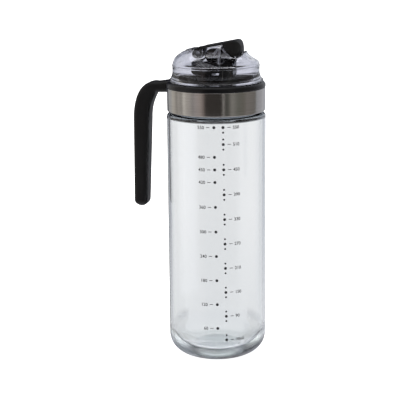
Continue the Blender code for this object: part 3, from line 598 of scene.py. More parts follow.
@dataclass(frozen=True)
class ClearFinish(Finish):
    """Glass or clear moulded plastic: faint ripples, a tint that grows with thickness."""

    tint: Colour = (0.965, 0.97, 0.975)
    refraction: float = 1.50
    roughness: Point = (0.0, 0.01)
    ripple_scale: Place = (60.0, 60.0, 25.0)
    ripple_depth: float = 0.00002
    depth_tint: Colour = (0.80, 0.91, 0.90)
    depth_density: float = 6.0
    clear_below: Point = (0.0, 0.0)
    clear_share: float = 0.8
    facing_edge: Point = (0.72, 0.42)
    # Painted shade: the heel's rim is darkened where it turns away, standing in for the dark edge that
    # refraction shows there.
    rim: Point = (0.34, 0.62)
    rim_below: Point = (0.016, 0.009)
    rim_tint: Colour = (0.78, 0.82, 0.82)
    # Painted shade: a darker blue-grey disc on the thick floor, standing in for how the floor looks seen
    # through.
    disc: Point = (0.0, 0.0)
    disc_fade: Point = (0.93, 0.9)
    disc_tint: Colour = (0.76, 0.80, 0.83)
    # Painted shade: a dark band on the glass just under the steel band, standing in for the shadow of the gap
    # and the dark reflection there.
    dark_above: Point = (0.0, 0.0)
    clear_above: Point = (0.1788, 0.1776)
    dark_tint: Colour = (0.16, 0.18, 0.21)

    @functools.cache
    def material(self) -> bpy.types.Material:
        """Build the clear material with its ripples and its inner tint.

        Returns:
            The material.
        """
        shading = Shading(self.name)
        shading.set(base_color=(*self.tint, 1.0), transmission_weight=1.0)
        shading.shader.inputs["IOR"].default_value = self.refraction
        ripples = shading.noise(self.ripple_scale, 1.5)
        shading.rough(ripples, *self.roughness)
        shading.bump((ripples, self.ripple_depth))
        if self.clear_below[0]:
            self.lighten_base(shading)
        if self.depth_density:
            inside = shading.add("VolumeAbsorption")
            inside.inputs["Color"].default_value = (*self.depth_tint, 1.0)
            inside.inputs["Density"].default_value = self.depth_density
            shading.link(inside.outputs["Volume"], shading.tree.nodes["Material Output"].inputs["Volume"])
        return shading.material

    def lighten_base(self, shading: Shading) -> None:
        """Let light straight through the heel, and paint shade on the floor's disc, on a band under the steel
        band and on the rim where it turns away.

        Args:
            shading: The material's nodes.
        """
        parts = shading.split("Object").outputs
        flat = shading.add("CombineXYZ")
        reach = shading.add("VectorMath", operation="LENGTH")
        for axis in ("X", "Y"):
            shading.link(parts[axis], flat.inputs[axis])
        shading.link(flat.outputs["Vector"], reach.inputs[0])
        height, radius = parts["Z"], reach.outputs["Value"]
        facing = shading.add("LayerWeight").outputs["Facing"]
        low = shading.maths("MULTIPLY", shading.ramped(height, self.clear_below, self.clear_share),
                            shading.ramped(facing, self.facing_edge))
        disc_radius, disc_height = ((edge, edge * fade) for edge, fade in zip(self.disc, self.disc_fade))
        tinted = self.tint
        # Painted shade: each mask darkens the glass's colour, on the floor's disc, in a band under the steel
        # band and on the heel's rim where it turns away.
        for first, first_edges, second, second_edges, tint in (
                (radius, disc_radius, height, disc_height, self.disc_tint),
                (height, self.dark_above, height, self.clear_above, self.dark_tint),
                (height, self.rim_below, facing, self.rim, self.rim_tint)):
            share = shading.maths("MULTIPLY", shading.ramped(first, first_edges),
                                  shading.ramped(second, second_edges))
            tinted = shading.mixed(share, tinted, tint)
        straight = shading.add("BsdfTransparent")
        both = shading.add("MixShader")
        for target in (shading.shader.inputs["Base Color"], straight.inputs["Color"]):
            shading.link(tinted, target)
        shading.link(low, both.inputs[0])
        shading.link(shading.shader.outputs["BSDF"], both.inputs[1])
        shading.link(straight.outputs["BSDF"], both.inputs[2])
        shading.link(both.outputs["Shader"], shading.tree.nodes["Material Output"].inputs["Surface"])


@dataclass(frozen=True)
class MouldedFinish(Finish):
    """Opaque moulded plastic, rubber or ink: fine spark grain, slight change of colour and gloss."""

    dark: Colour = (0.0022, 0.0023, 0.0027)
    light: Colour = (0.0042, 0.0043, 0.0050)
    roughness: Point = (0.42, 0.52)
    grain_scale: float = 2600.0
    grain_depth: float = 0.00003
    wave_depth: float = 0.00002
    gloss: float = 0.3
    see_through: float = 0.0

    @functools.cache
    def material(self) -> bpy.types.Material:
        """Build the moulded material with its grain.

        Returns:
            The material.
        """
        shading = Shading(self.name)
        shading.set(transmission_weight=self.see_through)
        shading.shader.inputs["Specular IOR Level"].default_value = self.gloss
        clouds = shading.noise((70.0, 70.0, 70.0), 4.0)
        grain = shading.noise((self.grain_scale,) * 3, 2.0)
        shading.mottled(clouds, self.dark, self.light)
        shading.rough(clouds, *self.roughness)
        shading.bump((clouds, self.wave_depth), (grain, self.grain_depth))
        return shading.material


@dataclass(frozen=True)
class BrushedFinish(Finish):
    """Stainless band brushed round its length, with painted shade where it turns away."""

    dark: Colour = (0.40, 0.385, 0.365)
    light: Colour = (0.60, 0.585, 0.565)
    roughness: Point = (0.14, 0.24)
    line_scale: float = 9000.0
    line_depth: float = 0.000012
    stretch: float = 0.85
    turn: float = 0.25
    # Painted shade: the band's colour darkens where it turns away, standing in for the dark reflections at
    # its sides.
    edges: Point = (0.70, 0.95)
    edge_tint: Colour = (0.10, 0.10, 0.12)

    @functools.cache
    def material(self) -> bpy.types.Material:
        """Build the brushed metal with its lines and its painted edge shade.

        Returns:
            The material.
        """
        shading = Shading(self.name)
        shading.set(metallic=1.0, anisotropic=self.stretch, anisotropic_rotation=self.turn)
        lines = shading.noise((18.0, 18.0, self.line_scale), 4.0, 0.7)
        clouds = shading.noise((30.0, 30.0, 60.0), 3.0)
        shading.mottled(lines, self.dark, self.light)
        shading.edged(self.edges, self.edge_tint)
        shading.rough(clouds, *self.roughness)
        shading.bump((lines, self.line_depth))
        around = shading.add("Tangent", direction_type="RADIAL", axis="Z")
        shading.link(around.outputs["Tangent"], shading.shader.inputs["Tangent"])
        return shading.material


@dataclass(frozen=True)
class PlatedFinish(Finish):
    """Bright plated or turned metal with faint smears and painted shade where it turns away."""

    dark: Colour = (0.66, 0.65, 0.63)
    light: Colour = (0.80, 0.79, 0.77)
    roughness: Point = (0.03, 0.09)
    smear_depth: float = 0.000015
    # Painted shade: the metal's colour darkens where it turns away, standing in for the dark reflections at
    # its rounded edges.
    edges: Point = (0.45, 0.85)
    edge_tint: Colour = (0.06, 0.06, 0.06)

    @functools.cache
    def material(self) -> bpy.types.Material:
        """Build the bright metal with its painted edge shade.

        Returns:
            The material.
        """
        shading = Shading(self.name)
        shading.set(metallic=1.0)
        smears = shading.noise((120.0, 240.0, 240.0), 3.0)
        shading.mottled(smears, self.dark, self.light)
        shading.edged(self.edges, self.edge_tint)
        shading.rough(smears, *self.roughness)
        shading.bump((smears, self.smear_depth))
        return shading.material


@dataclass(frozen=True)
class PaperFinish(Finish):
    """Seamless pale paper of the studio floor."""

    dark: Colour = (0.90, 0.90, 0.905)
    light: Colour = (0.93, 0.93, 0.935)
    glow: float = 0.8

    @functools.cache
    def material(self) -> bpy.types.Material:
        """Build the paper.

        Returns:
            The material.
        """
        shading = Shading(self.name)
        fibres = shading.noise((220.0, 220.0, 220.0), 5.0)
        shading.mottled(fibres, self.dark, self.light)
        shading.rough(fibres, 0.85, 0.95)
        shading.set(emission_color=(1.0, 1.0, 1.0, 1.0), emission_strength=self.glow)
        return shading.material


# The bottle glass carries painted shade: a darker disc on its floor and a dark band just under the steel
# band.
BOTTLE_GLASS = ClearFinish("bottle_glass", "clear_glass", clear_below=(0.026, 0.013), disc=(0.0178, 0.0085),
                           dark_above=(0.1742, 0.1762))
DOME_PLASTIC = ClearFinish("dome_plastic", "clear_plastic", tint=(0.82, 0.825, 0.88), refraction=1.49,
                           ripple_scale=(45.0, 45.0, 45.0), ripple_depth=0.00003,
                           depth_tint=(0.88, 0.88, 0.95), depth_density=14.0)
BAND_STEEL = BrushedFinish("band_steel", "brushed_steel")
HANDLE_PLASTIC = MouldedFinish("handle_plastic", "handle_black")
COLLAR_PLASTIC = MouldedFinish("collar_plastic", "handle_black", roughness=(0.20, 0.30), grain_depth=0.00001)
CAP_PLASTIC = MouldedFinish("cap_plastic", "cap_black", roughness=(0.34, 0.44), grain_depth=0.00002,
                            gloss=0.0)
CORE_PLASTIC = MouldedFinish("core_plastic", "core_black", dark=(0.002, 0.002, 0.0025),
                             light=(0.004, 0.004, 0.005), roughness=(0.24, 0.36), grain_depth=0.00001,
                             gloss=0.15)
FLAP_PLASTIC = MouldedFinish("flap_plastic", "flap_black", dark=(0.0045, 0.0045, 0.005),
                             light=(0.0075, 0.0075, 0.008), roughness=(0.45, 0.60))
WEIGHT_CHROME = PlatedFinish("weight_chrome", "bright_chrome")
PIN_STEEL = PlatedFinish("pin_steel", "pin_steel", dark=(0.5, 0.5, 0.5), light=(0.62, 0.62, 0.62),
                         roughness=(0.18, 0.28))
SCREW_STEEL = PlatedFinish("screw_steel", "screw_steel", dark=(0.45, 0.45, 0.46), light=(0.58, 0.58, 0.59),
                           roughness=(0.25, 0.35))
CLEAR_SILICONE = MouldedFinish("clear_silicone", "gasket_silicone", dark=(0.66, 0.67, 0.67),
                               light=(0.78, 0.78, 0.78), roughness=(0.5, 0.6), see_through=0.35)
SEAL_SILICONE = MouldedFinish("seal_silicone", "seal_silicone", dark=(0.62, 0.62, 0.63),
                              light=(0.74, 0.74, 0.74), roughness=(0.5, 0.6), see_through=0.35)
PAD_SILICONE = MouldedFinish("pad_silicone", "pad_silicone", dark=(0.008, 0.008, 0.008),
                             light=(0.014, 0.014, 0.014), roughness=(0.55, 0.7))
# Painted highlight: the nose ribs get a near-white, barely see-through finish so that they show as the bright
# lines on the clear nose.
PAINTED_RIB_HIGHLIGHT = MouldedFinish("painted_rib_highlight", "clear_plastic", dark=(0.86, 0.86, 0.92), light=(0.95, 0.95, 0.99),
                            roughness=(0.12, 0.2), grain_depth=0.000005, see_through=0.15)
SCALE_INK = MouldedFinish("scale_ink", "cap_black", dark=(0.010, 0.010, 0.012), light=(0.03, 0.03, 0.033),
                          roughness=(0.5, 0.65), grain_depth=0.00001)
STUDIO_PAPER = PaperFinish("studio_paper", "")


@dataclass
class Levels:
    """Heights and radii that pieces share, read from the frame."""

    rim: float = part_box("glass_bottle")[1].z
    body_radius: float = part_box("glass_bottle")[1].x
    skirt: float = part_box("screw_cap")[0].z
    deck_rim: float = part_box("screw_cap")[1].z
    cap_radius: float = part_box("screw_cap")[1].x
    sleeve_radius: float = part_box("steel_sleeve")[1].x
    sleeve_low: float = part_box("steel_sleeve")[0].z
    sleeve_top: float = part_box("steel_sleeve")[1].z
    collar_radius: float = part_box("handle")[1].x
    collar_top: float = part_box("handle")[1].z
    foot_radius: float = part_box("clear_dome")[1].x
    lugs: int = 4
    lead: float = 0.0140
    neck_lug_drop: float = 0.0074
    cap_lug_drop: float = 0.00915

    @property
    def seat(self) -> float:
        """Height of the dome's foot on the deck's rim."""
        return self.deck_rim + FIT

    @property
    def collar_bottom(self) -> float:
        """Height of the collar's lower edge over the band."""
        return self.sleeve_top + FIT

    @property
    def ceiling(self) -> float:
        """Underside of the cap's top, where the core's spigot ends."""
        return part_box("pour_core")[0].z


LEVELS = Levels()


def seated(points: Sequence[Point]) -> list[Point]:
    """Points whose heights count from the dome's seat, as heights in the frame."""
    return [(x, LEVELS.seat + z) for x, z in points]


@dataclass
class ThreadLug:
    """One of the four lugs of a thread, on the neck or in the cap."""

    wall: float
    crest: float
    width: float
    middle: float
    span: float = math.radians(55)
    start: float = math.radians(2.1)
    taper: float = 0.0003
    root: float = 0.0004
    steps: int = 14

    def build(self, name: str, index: int) -> Solid:
        """Build one lug.

        Args:
            name: Name of the solid.
            index: Which of the lugs round the neck.

        Returns:
            The tapered rib that climbs with the lead.
        """
        outward = 1 if self.crest > self.wall else -1
        half = self.width / 2
        section = [(self.wall - outward * self.root, -half), (self.crest, -half + self.taper),
                   (self.crest, half - self.taper), (self.wall - outward * self.root, half)]
        rings = []
        for i in range(self.steps + 1):
            turn = self.span * i / self.steps
            angle = self.start + 2 * math.pi * index / LEVELS.lugs + turn
            height = self.middle + LEVELS.lead * turn / (2 * math.pi)
            rings.append([around(r, angle, height + dz) for r, dz in section])
        return Solid(name, rings)


@dataclass
class GlassBottle:
    """Straight clear bottle with a thick base, a round heel and a wide threaded neck."""

    shoulder_start: float = 0.1746
    wall: float = 0.00204
    base: float = 0.0070
    heel_reach: float = 0.0160
    heel_rise: float = 0.0140
    shoulder_round: float = 0.0016
    shoulder_rise: float = 0.0008
    shoulder_wall: float = 0.0016
    shoulder_cove: float = 0.0015
    shoulder_bore_round: float = 0.0012
    neck_radius: float = 0.0296
    neck_wall: float = 0.0024
    rim_round: float = 0.0008
    punt_radius: float = 0.0165
    punt_depth: float = 0.0008
    floor_bulge: float = 0.0003
    lug: ThreadLug = field(default_factory=lambda: ThreadLug(
        wall=0.0296, crest=0.0309, width=0.0015, middle=LEVELS.rim - LEVELS.neck_lug_drop))

    def outside(self) -> list[Point]:
        """Outer profile from the middle of the base to the rim.

        Returns:
            Its (radius, height) points.
        """
        body = LEVELS.body_radius
        shoulder = self.shoulder_start + self.shoulder_round + self.shoulder_rise
        punt = [(self.punt_radius * s, self.punt_depth * (1 - s ** 4)) for s in (0.25, 0.5, 0.7, 0.85, 0.95)]
        profile = punt + arc((body - self.heel_reach, self.heel_rise), (self.heel_reach, self.heel_rise),
                             -90, 0, 28)
        profile += arc((body - self.shoulder_round, self.shoulder_start), self.shoulder_round, 0, 78, 10)
        neck, foot = self.neck_radius, shoulder - self.shoulder_rise / 2
        profile += curved((neck + self.shoulder_rise, foot), (neck, foot), (neck, shoulder), 5)
        return profile + arc((neck - self.rim_round, LEVELS.rim - self.rim_round), self.rim_round, 0, 90, 6)

    def inside(self) -> list[Point]:
        """Inner profile from the rim down to the middle of the floor.

        Returns:
            Its (radius, height) points.
        """
        body = LEVELS.body_radius - self.wall
        neck = self.neck_radius - self.neck_wall
        under = self.shoulder_start + self.shoulder_round - self.shoulder_wall
        profile = arc((neck + self.rim_round, LEVELS.rim - self.rim_round), self.rim_round, 90, 180, 6)
        profile += arc((neck + self.shoulder_bore_round, under + self.shoulder_bore_round),
                       self.shoulder_bore_round, 180, 270, 8)
        profile += arc((body - self.shoulder_cove, under - self.shoulder_cove), self.shoulder_cove,
                       90, 0, 8)
        floor = body - self.heel_reach
        profile += arc((floor, self.base + self.heel_rise), (self.heel_reach, self.heel_rise), 0, -90, 26)
        return profile + [(floor * s, self.base + self.floor_bulge * (1 - s * s)) for s in (0.8, 0.55, 0.25)]

    def build(self) -> None:
        """Build and dress the bottle."""
        bottle = Solid.turned("glass_body", self.outside() + self.inside())
        for i in range(LEVELS.lugs):
            bottle.join(self.lug.build(f"neck_lug_{i}", i))
        bottle.dress(BOTTLE_GLASS, Body.BOTTLE, "glass_bottle")


class Side(Enum):
    """Which side of a column its labels stand on."""

    LEFT = -1
    RIGHT = 1


@dataclass
class ScaleColumn:
    """One column of the printed volume scale."""

    side: Side
    azimuth: float
    volumes: tuple[int, ...]
    has_small_dots: bool


@dataclass
class VolumeScale:
    """Dots, dashes and plain numbers printed on the glass."""

    zero_height: float = 0.0103
    per_ml: float = 0.000293
    lean: float = math.radians(-20.7)          # turn for each metre of height
    lean_from: float = 0.100
    dot: float = 0.00105
    small_dot: float = 0.00070
    small_step_ml: float = 12.0
    dash: Point = (0.0024, 0.00042)
    dash_gap: float = 0.0030
    label_gap: float = 0.0068
    label_height: float = 0.0023
    label_scale: float = 1.38
    stroke: float = 0.00005
    off_glass: float = 0.00001
    ink: float = 0.00003
    columns: tuple[ScaleColumn, ...] = (
        ScaleColumn(Side.LEFT, 10.77, (60, 120, 180, 240, 300, 360, 420, 450, 480, 550), False),
        ScaleColumn(Side.RIGHT, 20.91, (30, 90, 150, 210, 270, 330, 390, 450, 510, 550), True),
    )

    def on_glass(self, azimuth: float, across: float, height: float) -> Vector:
        """Point on the printed face.

        Args:
            azimuth: The column's direction in degrees from -Y towards +X.
            across: Distance round the glass from the column.
            height: Height over the base.

        Returns:
            The point.
        """
        radius = LEVELS.body_radius + self.off_glass + self.ink
        angle = math.radians(azimuth) + self.lean * (height - self.lean_from) + across / radius
        return Vector((radius * math.sin(angle), -radius * math.cos(angle), height))

    def height_of(self, volume: float) -> float:
        """Height of a volume's mark."""
        return self.zero_height + self.per_ml * volume

    def patch(self, bm: bmesh.types.BMesh, column: ScaleColumn, outline: Sequence[Point]) -> None:
        """Print one flat shape."""
        bm.faces.new([bm.verts.new(self.on_glass(column.azimuth, x, z)) for x, z in outline])

    def label(self, bm: bmesh.types.BMesh, column: ScaleColumn, volume: int) -> None:
        """Print one number beside its mark.

        Args:
            bm: The print so far.
            column: The column it belongs to.
            volume: The number.
        """
        text = bpy.data.curves.new("number", "FONT")
        text.body = f"{volume}ml" if volume == column.volumes[0] and column.has_small_dots else str(volume)
        text.size = self.label_height * self.label_scale
        text.offset = self.stroke
        text.resolution_u = 3
        text.align_x = "LEFT" if column.side is Side.RIGHT else "RIGHT"
        holder = in_scene("number", text)
        graph = bpy.context.evaluated_depsgraph_get()
        flat = bpy.data.meshes.new_from_object(holder.evaluated_get(graph))
        level = self.height_of(volume) - self.label_height / 2
        shift = column.side.value * self.label_gap
        corners = [bm.verts.new(self.on_glass(column.azimuth, v.co.x + shift, v.co.y + level))
                   for v in flat.vertices]
        for polygon in flat.polygons:
            bm.faces.new([corners[i] for i in polygon.vertices])
        bpy.data.objects.remove(holder, do_unlink=True)
        bpy.data.meshes.remove(flat)

    def column(self, bm: bmesh.types.BMesh, column: ScaleColumn) -> None:
        """Print one column.

        Args:
            bm: The print so far.
            column: The column.
        """
        for volume in column.volumes:
            level = self.height_of(volume)
            self.patch(bm, column, arc((0.0, level), self.dot, 0, 345, 23))
            start = column.side.value * self.dash_gap
            end = start + column.side.value * self.dash[0]
            low, high = level - self.dash[1] / 2, level + self.dash[1] / 2
            self.patch(bm, column, [(start, low), (end, low), (end, high), (start, high)])
            self.label(bm, column, volume)
            if column.has_small_dots:
                steps = [s for s in (-1, 1) if not (s == 1 and volume == column.volumes[-1])
                         and not (s == -1 and volume == column.volumes[0])]
                for s in steps:
                    centre = (0.0, self.height_of(volume + s * self.small_step_ml))
                    self.patch(bm, column, arc(centre, self.small_dot, 0, 340, 17))

    def build(self) -> None:
        """Build and dress the whole print as one thin raised layer."""
        bm = bmesh.new()
        for column in self.columns:
            self.column(bm, column)
        under = bmesh.ops.extrude_face_region(bm, geom=bm.faces[:], use_keep_orig=True)
        share = (LEVELS.body_radius + self.off_glass) / (LEVELS.body_radius + self.off_glass + self.ink)
        for corner in (v for v in under["geom"] if isinstance(v, bmesh.types.BMVert)):
            corner.co.x *= share
            corner.co.y *= share
        piece = meshed("volume_scale", bm)
        piece.data.materials.append(SCALE_INK.material())
        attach(piece, Body.BOTTLE.value)
        log.info("volume_scale: %d faces", len(piece.data.polygons))


@dataclass
class SteelBand:
    """Brushed stainless band with a rolled lower edge."""

    wall: float = 0.0005
    curl_reach: float = 0.0016
    curl_height: float = 0.0010
    top_round: float = 0.0002

    def build(self) -> None:
        """Build and dress the band."""
        outer, low, top = LEVELS.sleeve_radius, LEVELS.sleeve_low, LEVELS.sleeve_top
        inner = outer - self.wall
        curl = low + self.wall
        profile = arc((outer - self.curl_height, low + self.curl_height), self.curl_height, -90, 0, 10)
        profile += arc((outer - self.top_round, top - self.top_round), self.top_round, 0, 90, 3)
        profile += [(inner, top), (inner, curl + self.wall), (inner - self.wall, curl),
                    (outer - self.curl_reach, curl), (outer - self.curl_reach, low)]
        band = Solid.turned("steel_band", profile, ring_shaped=True)
        band.dress(BAND_STEEL, Body.HEAD, "steel_sleeve")


@dataclass
class HandleRing:
    """Matt black handle, open at the bottom, moulded in one with the collar over the band."""

    collar_wall: float = 0.0029
    collar_side: float = 0.0018
    slope_in: float = 0.0017
    width: float = 0.0140
    corner: float = 0.0030
    arm_half: float = 0.0037
    grip_half: float = 0.0059
    grip_end_half: float = 0.0049
    reach: float = 0.0186
    splay: float = 0.0016
    length: float = 0.0870
    bend: Point = (0.0111, 0.0225)
    end_round: float = 0.0045
    swell: float = 1.70
    arm_drop: float = 0.0047
    root_flare: float = 0.0004
    root_rise: float = 0.0006
    bend_rings: int = 30
    grip_rings: int = 24
    end_rings: int = 8
    end_turn: float = math.radians(84)

    def path(self) -> list[Place]:
        """Middle line of the arm as (distance from the axis, height, half thickness).

        Returns:
            Its rows, from the collar down.
        """
        middle = LEVELS.collar_top - self.arm_drop
        grip = LEVELS.collar_radius + self.reach
        root = LEVELS.collar_radius - self.collar_wall / 2
        bend_x, bend_z = grip - self.bend[0], middle - self.bend[1]
        path = [(root + (bend_x - root) * i / 6, middle + self.root_rise * (1 - eased(i / 6)),
                 self.arm_half + self.root_flare * (1 - eased(i / 6))) for i in range(6)]
        for i in range(self.bend_rings + 1):
            turn = math.pi / 2 * i / self.bend_rings
            swell = math.sin(min(math.pi / 2, turn * self.swell))
            path.append((bend_x + self.bend[0] * math.sin(turn), bend_z + self.bend[1] * math.cos(turn),
                         self.arm_half + (self.grip_half - self.arm_half) * swell))
        end = middle - self.length + self.end_round
        for i in range(1, self.grip_rings + 1):
            share = i / self.grip_rings
            path.append((grip + self.splay * share, bend_z + (end - bend_z) * share,
                         self.grip_half + (self.grip_end_half - self.grip_half) * share))
        return path

    def section(self, half: float, half_width: float) -> list[Point]:
        """Rounded bar section.

        Args:
            half: Half its thickness.
            half_width: Half its width along Y.

        Returns:
            Its points as (across, along Y).
        """
        corner = min(self.corner, half, half_width)
        x, y = half - corner, half_width - corner
        return [point for start, cx, cy in ((0, x, y), (90, -x, y), (180, -x, -y), (270, x, -y))
                for point in arc((cx, cy), corner, start, start + 90, 9)]

    def arm(self) -> Solid:
        """Build the arm and grip with its round lower end.

        Returns:
            The arm, running a little into the collar.
        """
        path = self.path()
        rings = []
        for i, (x, z, half) in enumerate(path):
            before, after = path[max(i - 1, 0)], path[min(i + 1, len(path) - 1)]
            along = Vector((after[0] - before[0], after[1] - before[1])).normalized()
            across = Vector((-along.y, along.x))
            rings.append([(-(x + across.x * a), y, z + across.y * a)
                          for a, y in self.section(half, self.width / 2)])
        x, z, half = path[-1]
        for i in range(1, self.end_rings + 1):
            turn = self.end_turn * i / self.end_rings
            drop, shrink = math.sin(turn) * self.end_round, self.end_round * (1 - math.cos(turn))
            rings.append([(-(x + a), y, z - drop)
                          for a, y in self.section(half - shrink, self.width / 2 - shrink)])
        return Solid("handle_arm", rings)

    def collar_profile(self) -> list[Point]:
        """Section of the collar: upright side, softly sloped top.

        Returns:
            Its (radius, height) points.
        """
        outer, low, high = LEVELS.collar_radius, LEVELS.collar_bottom, LEVELS.collar_top
        inner = outer - self.collar_wall
        slope = curved((outer, low + self.collar_side),
                       (outer - self.slope_in / 4, (low + self.collar_side + high) / 2 + FIT),
                       (outer - self.slope_in, high - FIT), 8)
        return [(inner, low), (outer - FIT, low), (outer, low + FIT)] + slope + [
            (outer - self.slope_in - FIT, high), (inner, high)]

    def build(self) -> None:
        """Build and dress handle and collar as one piece."""
        ring = Solid.turned("handle_ring", self.collar_profile(), ring_shaped=True)
        ring.join(self.arm())
        room = LEVELS.sleeve_radius + FIT
        low = LEVELS.collar_bottom
        ring.cut(Solid.turned("sleeve_room", [(room, low - self.bend[0]), (room, low)]))
        piece = ring.dress(HANDLE_PLASTIC, Body.HEAD, "handle")
        piece.data.materials.append(COLLAR_PLASTIC.material())
        for polygon in piece.data.polygons:
            x, y, _ = polygon.center
            polygon.material_index = int(math.hypot(x, y) < LEVELS.collar_radius + FIT)
        piece.visible_glossy = False


@dataclass
class ScrewCap:
    """Threaded black cap inside the band, whose top is the deck that shows in the dome."""

    bore: float = 0.0319
    pocket: float = 0.0303
    step: float = 0.0317
    pocket_depth: float = 0.0041
    deck_drop: float = 0.0006
    seal_width: float = 0.0016
    lug: ThreadLug = field(default_factory=lambda: ThreadLug(
        wall=0.0319, crest=0.0301, width=0.0013, middle=LEVELS.rim - LEVELS.cap_lug_drop))

    def groove(self) -> tuple[float, float, float]:
        """Inner radius, outer radius and floor of the groove for the dome's tongue."""
        low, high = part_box("dome_seal")
        return high.x - self.seal_width - 2 * FIT, high.x + FIT, low.z - FIT

    def build(self) -> None:
        """Build and dress the cap."""
        low, rim, ceiling = LEVELS.skirt, LEVELS.deck_rim, LEVELS.ceiling
        shelf = LEVELS.collar_bottom - FIT
        groove_in, groove_out, floor = self.groove()
        deck = rim - self.deck_drop
        profile = [(self.pocket, ceiling), (self.pocket, ceiling - self.pocket_depth),
                   (self.bore, ceiling - self.pocket_depth - (self.bore - self.pocket)),
                   (self.bore, low + FIT), (self.bore + FIT, low), (LEVELS.cap_radius, low),
                   (LEVELS.cap_radius, shelf), (self.step, shelf), (self.step, rim - FIT),
                   (self.step - FIT, rim), (groove_out, rim), (groove_out, floor), (groove_in, floor),
                   (groove_in, rim - FIT), (groove_in - FIT, rim),
                   (groove_in - 2 * self.deck_drop, rim - FIT), (groove_in - 3 * self.deck_drop, deck)]
        cap = Solid.turned("cap_body", profile)
        for i in range(LEVELS.lugs):
            cap.join(self.lug.build(f"cap_lug_{i}", i))
        core = PourCore()
        back, front = core.spigot_span()
        half = core.bore_half + core.spigot_wall + FIT
        through = (ceiling - CUT_PAST, rim + CUT_PAST)
        cap.cut(Solid.block("pour_hole", (back - FIT, front + FIT), (-half, half), through))
        cap.cut(Solid.rod("drain_hole", (core.drain_x, 0.0), core.drain_radius + core.spigot_wall + FIT,
                          *through))
        cap.dress(CAP_PLASTIC, Body.HEAD, "screw_cap")


@dataclass
class Nose:
    """Shape that the clear dome and the flap share: the raised nose and its sloped roof line."""

    front: float = 0.0208
    rear: float = 0.0215
    half_width: float = 0.0095
    front_round: float = 0.0072
    rear_round: float = 0.0085
    edge: float = 0.0008
    roof_height: float = 0.02565
    roof_slope: float = 0.195
    lip_height: float = 0.0203
    lip_inset: float = 0.0012
    hinge_radius: float = 0.0046
    strip: float = 0.0012
    strip_rear: float = -0.0085
    hood_front: float = 0.0193
    hood_half_width: float = 0.0093
    hood_front_round: float = 0.0066
    hood_wall: float = 0.0014
    rear_edge: tuple[Point, ...] = ((0.0064, 0.0257), (0.0090, 0.0200), (0.0132, 0.0180))
    rear_drop: float = 0.6
    strip_drop: float = 0.75
    cheek: Point = (0.0170, 0.0174)
    chin: float = 0.0181
    knuckle_half: float = 0.0046
    pin_radius: float = 0.0010

    @property
    def hood_inner_face(self) -> float:
        """X of the hood's inner front face."""
        return self.hood_front - self.hood_wall - FIT

    def roof(self, x: float) -> float:
        """Height of the roof line."""
        return LEVELS.seat + self.roof_height + self.roof_slope * x

    @property
    def hinge(self) -> Vector:
        """Point on the flap's hinge axis, from the frame's joint."""
        joint = next(j for j in frame["joints"] if j["name"] == "flap_swing")
        return Vector(joint["pos_m"])

    def plan(self, inset: float, edge: float = 0.0) -> list[Point]:
        """Plan of the nose.

        Args:
            inset: How far its sides are drawn in.
            edge: How far the rounding of its upper edge draws them in as well.

        Returns:
            Its corners, counter-clockwise.
        """
        drawn = inset + edge
        return bar_plan(-self.rear + drawn, self.front - drawn, self.half_width - drawn,
                        self.rear_round - drawn, self.front_round - drawn)

    def hood_rear(self, clearance: float) -> list[Point]:
        """Side view of the hood's rear edge.

        Args:
            clearance: Gap to keep behind and below it; 0 gives the edge itself.

        Returns:
            Points from the strip down to the cheek.
        """
        drop = clearance * self.rear_drop
        top, pull, foot = (Vector((x - clearance, LEVELS.seat + z - drop)) for x, z in self.rear_edge)
        top.y = self.roof(top.x) - self.strip - clearance * self.strip_drop
        return curved(tuple(top), tuple(pull), tuple(foot), 10)


NOSE = Nose()


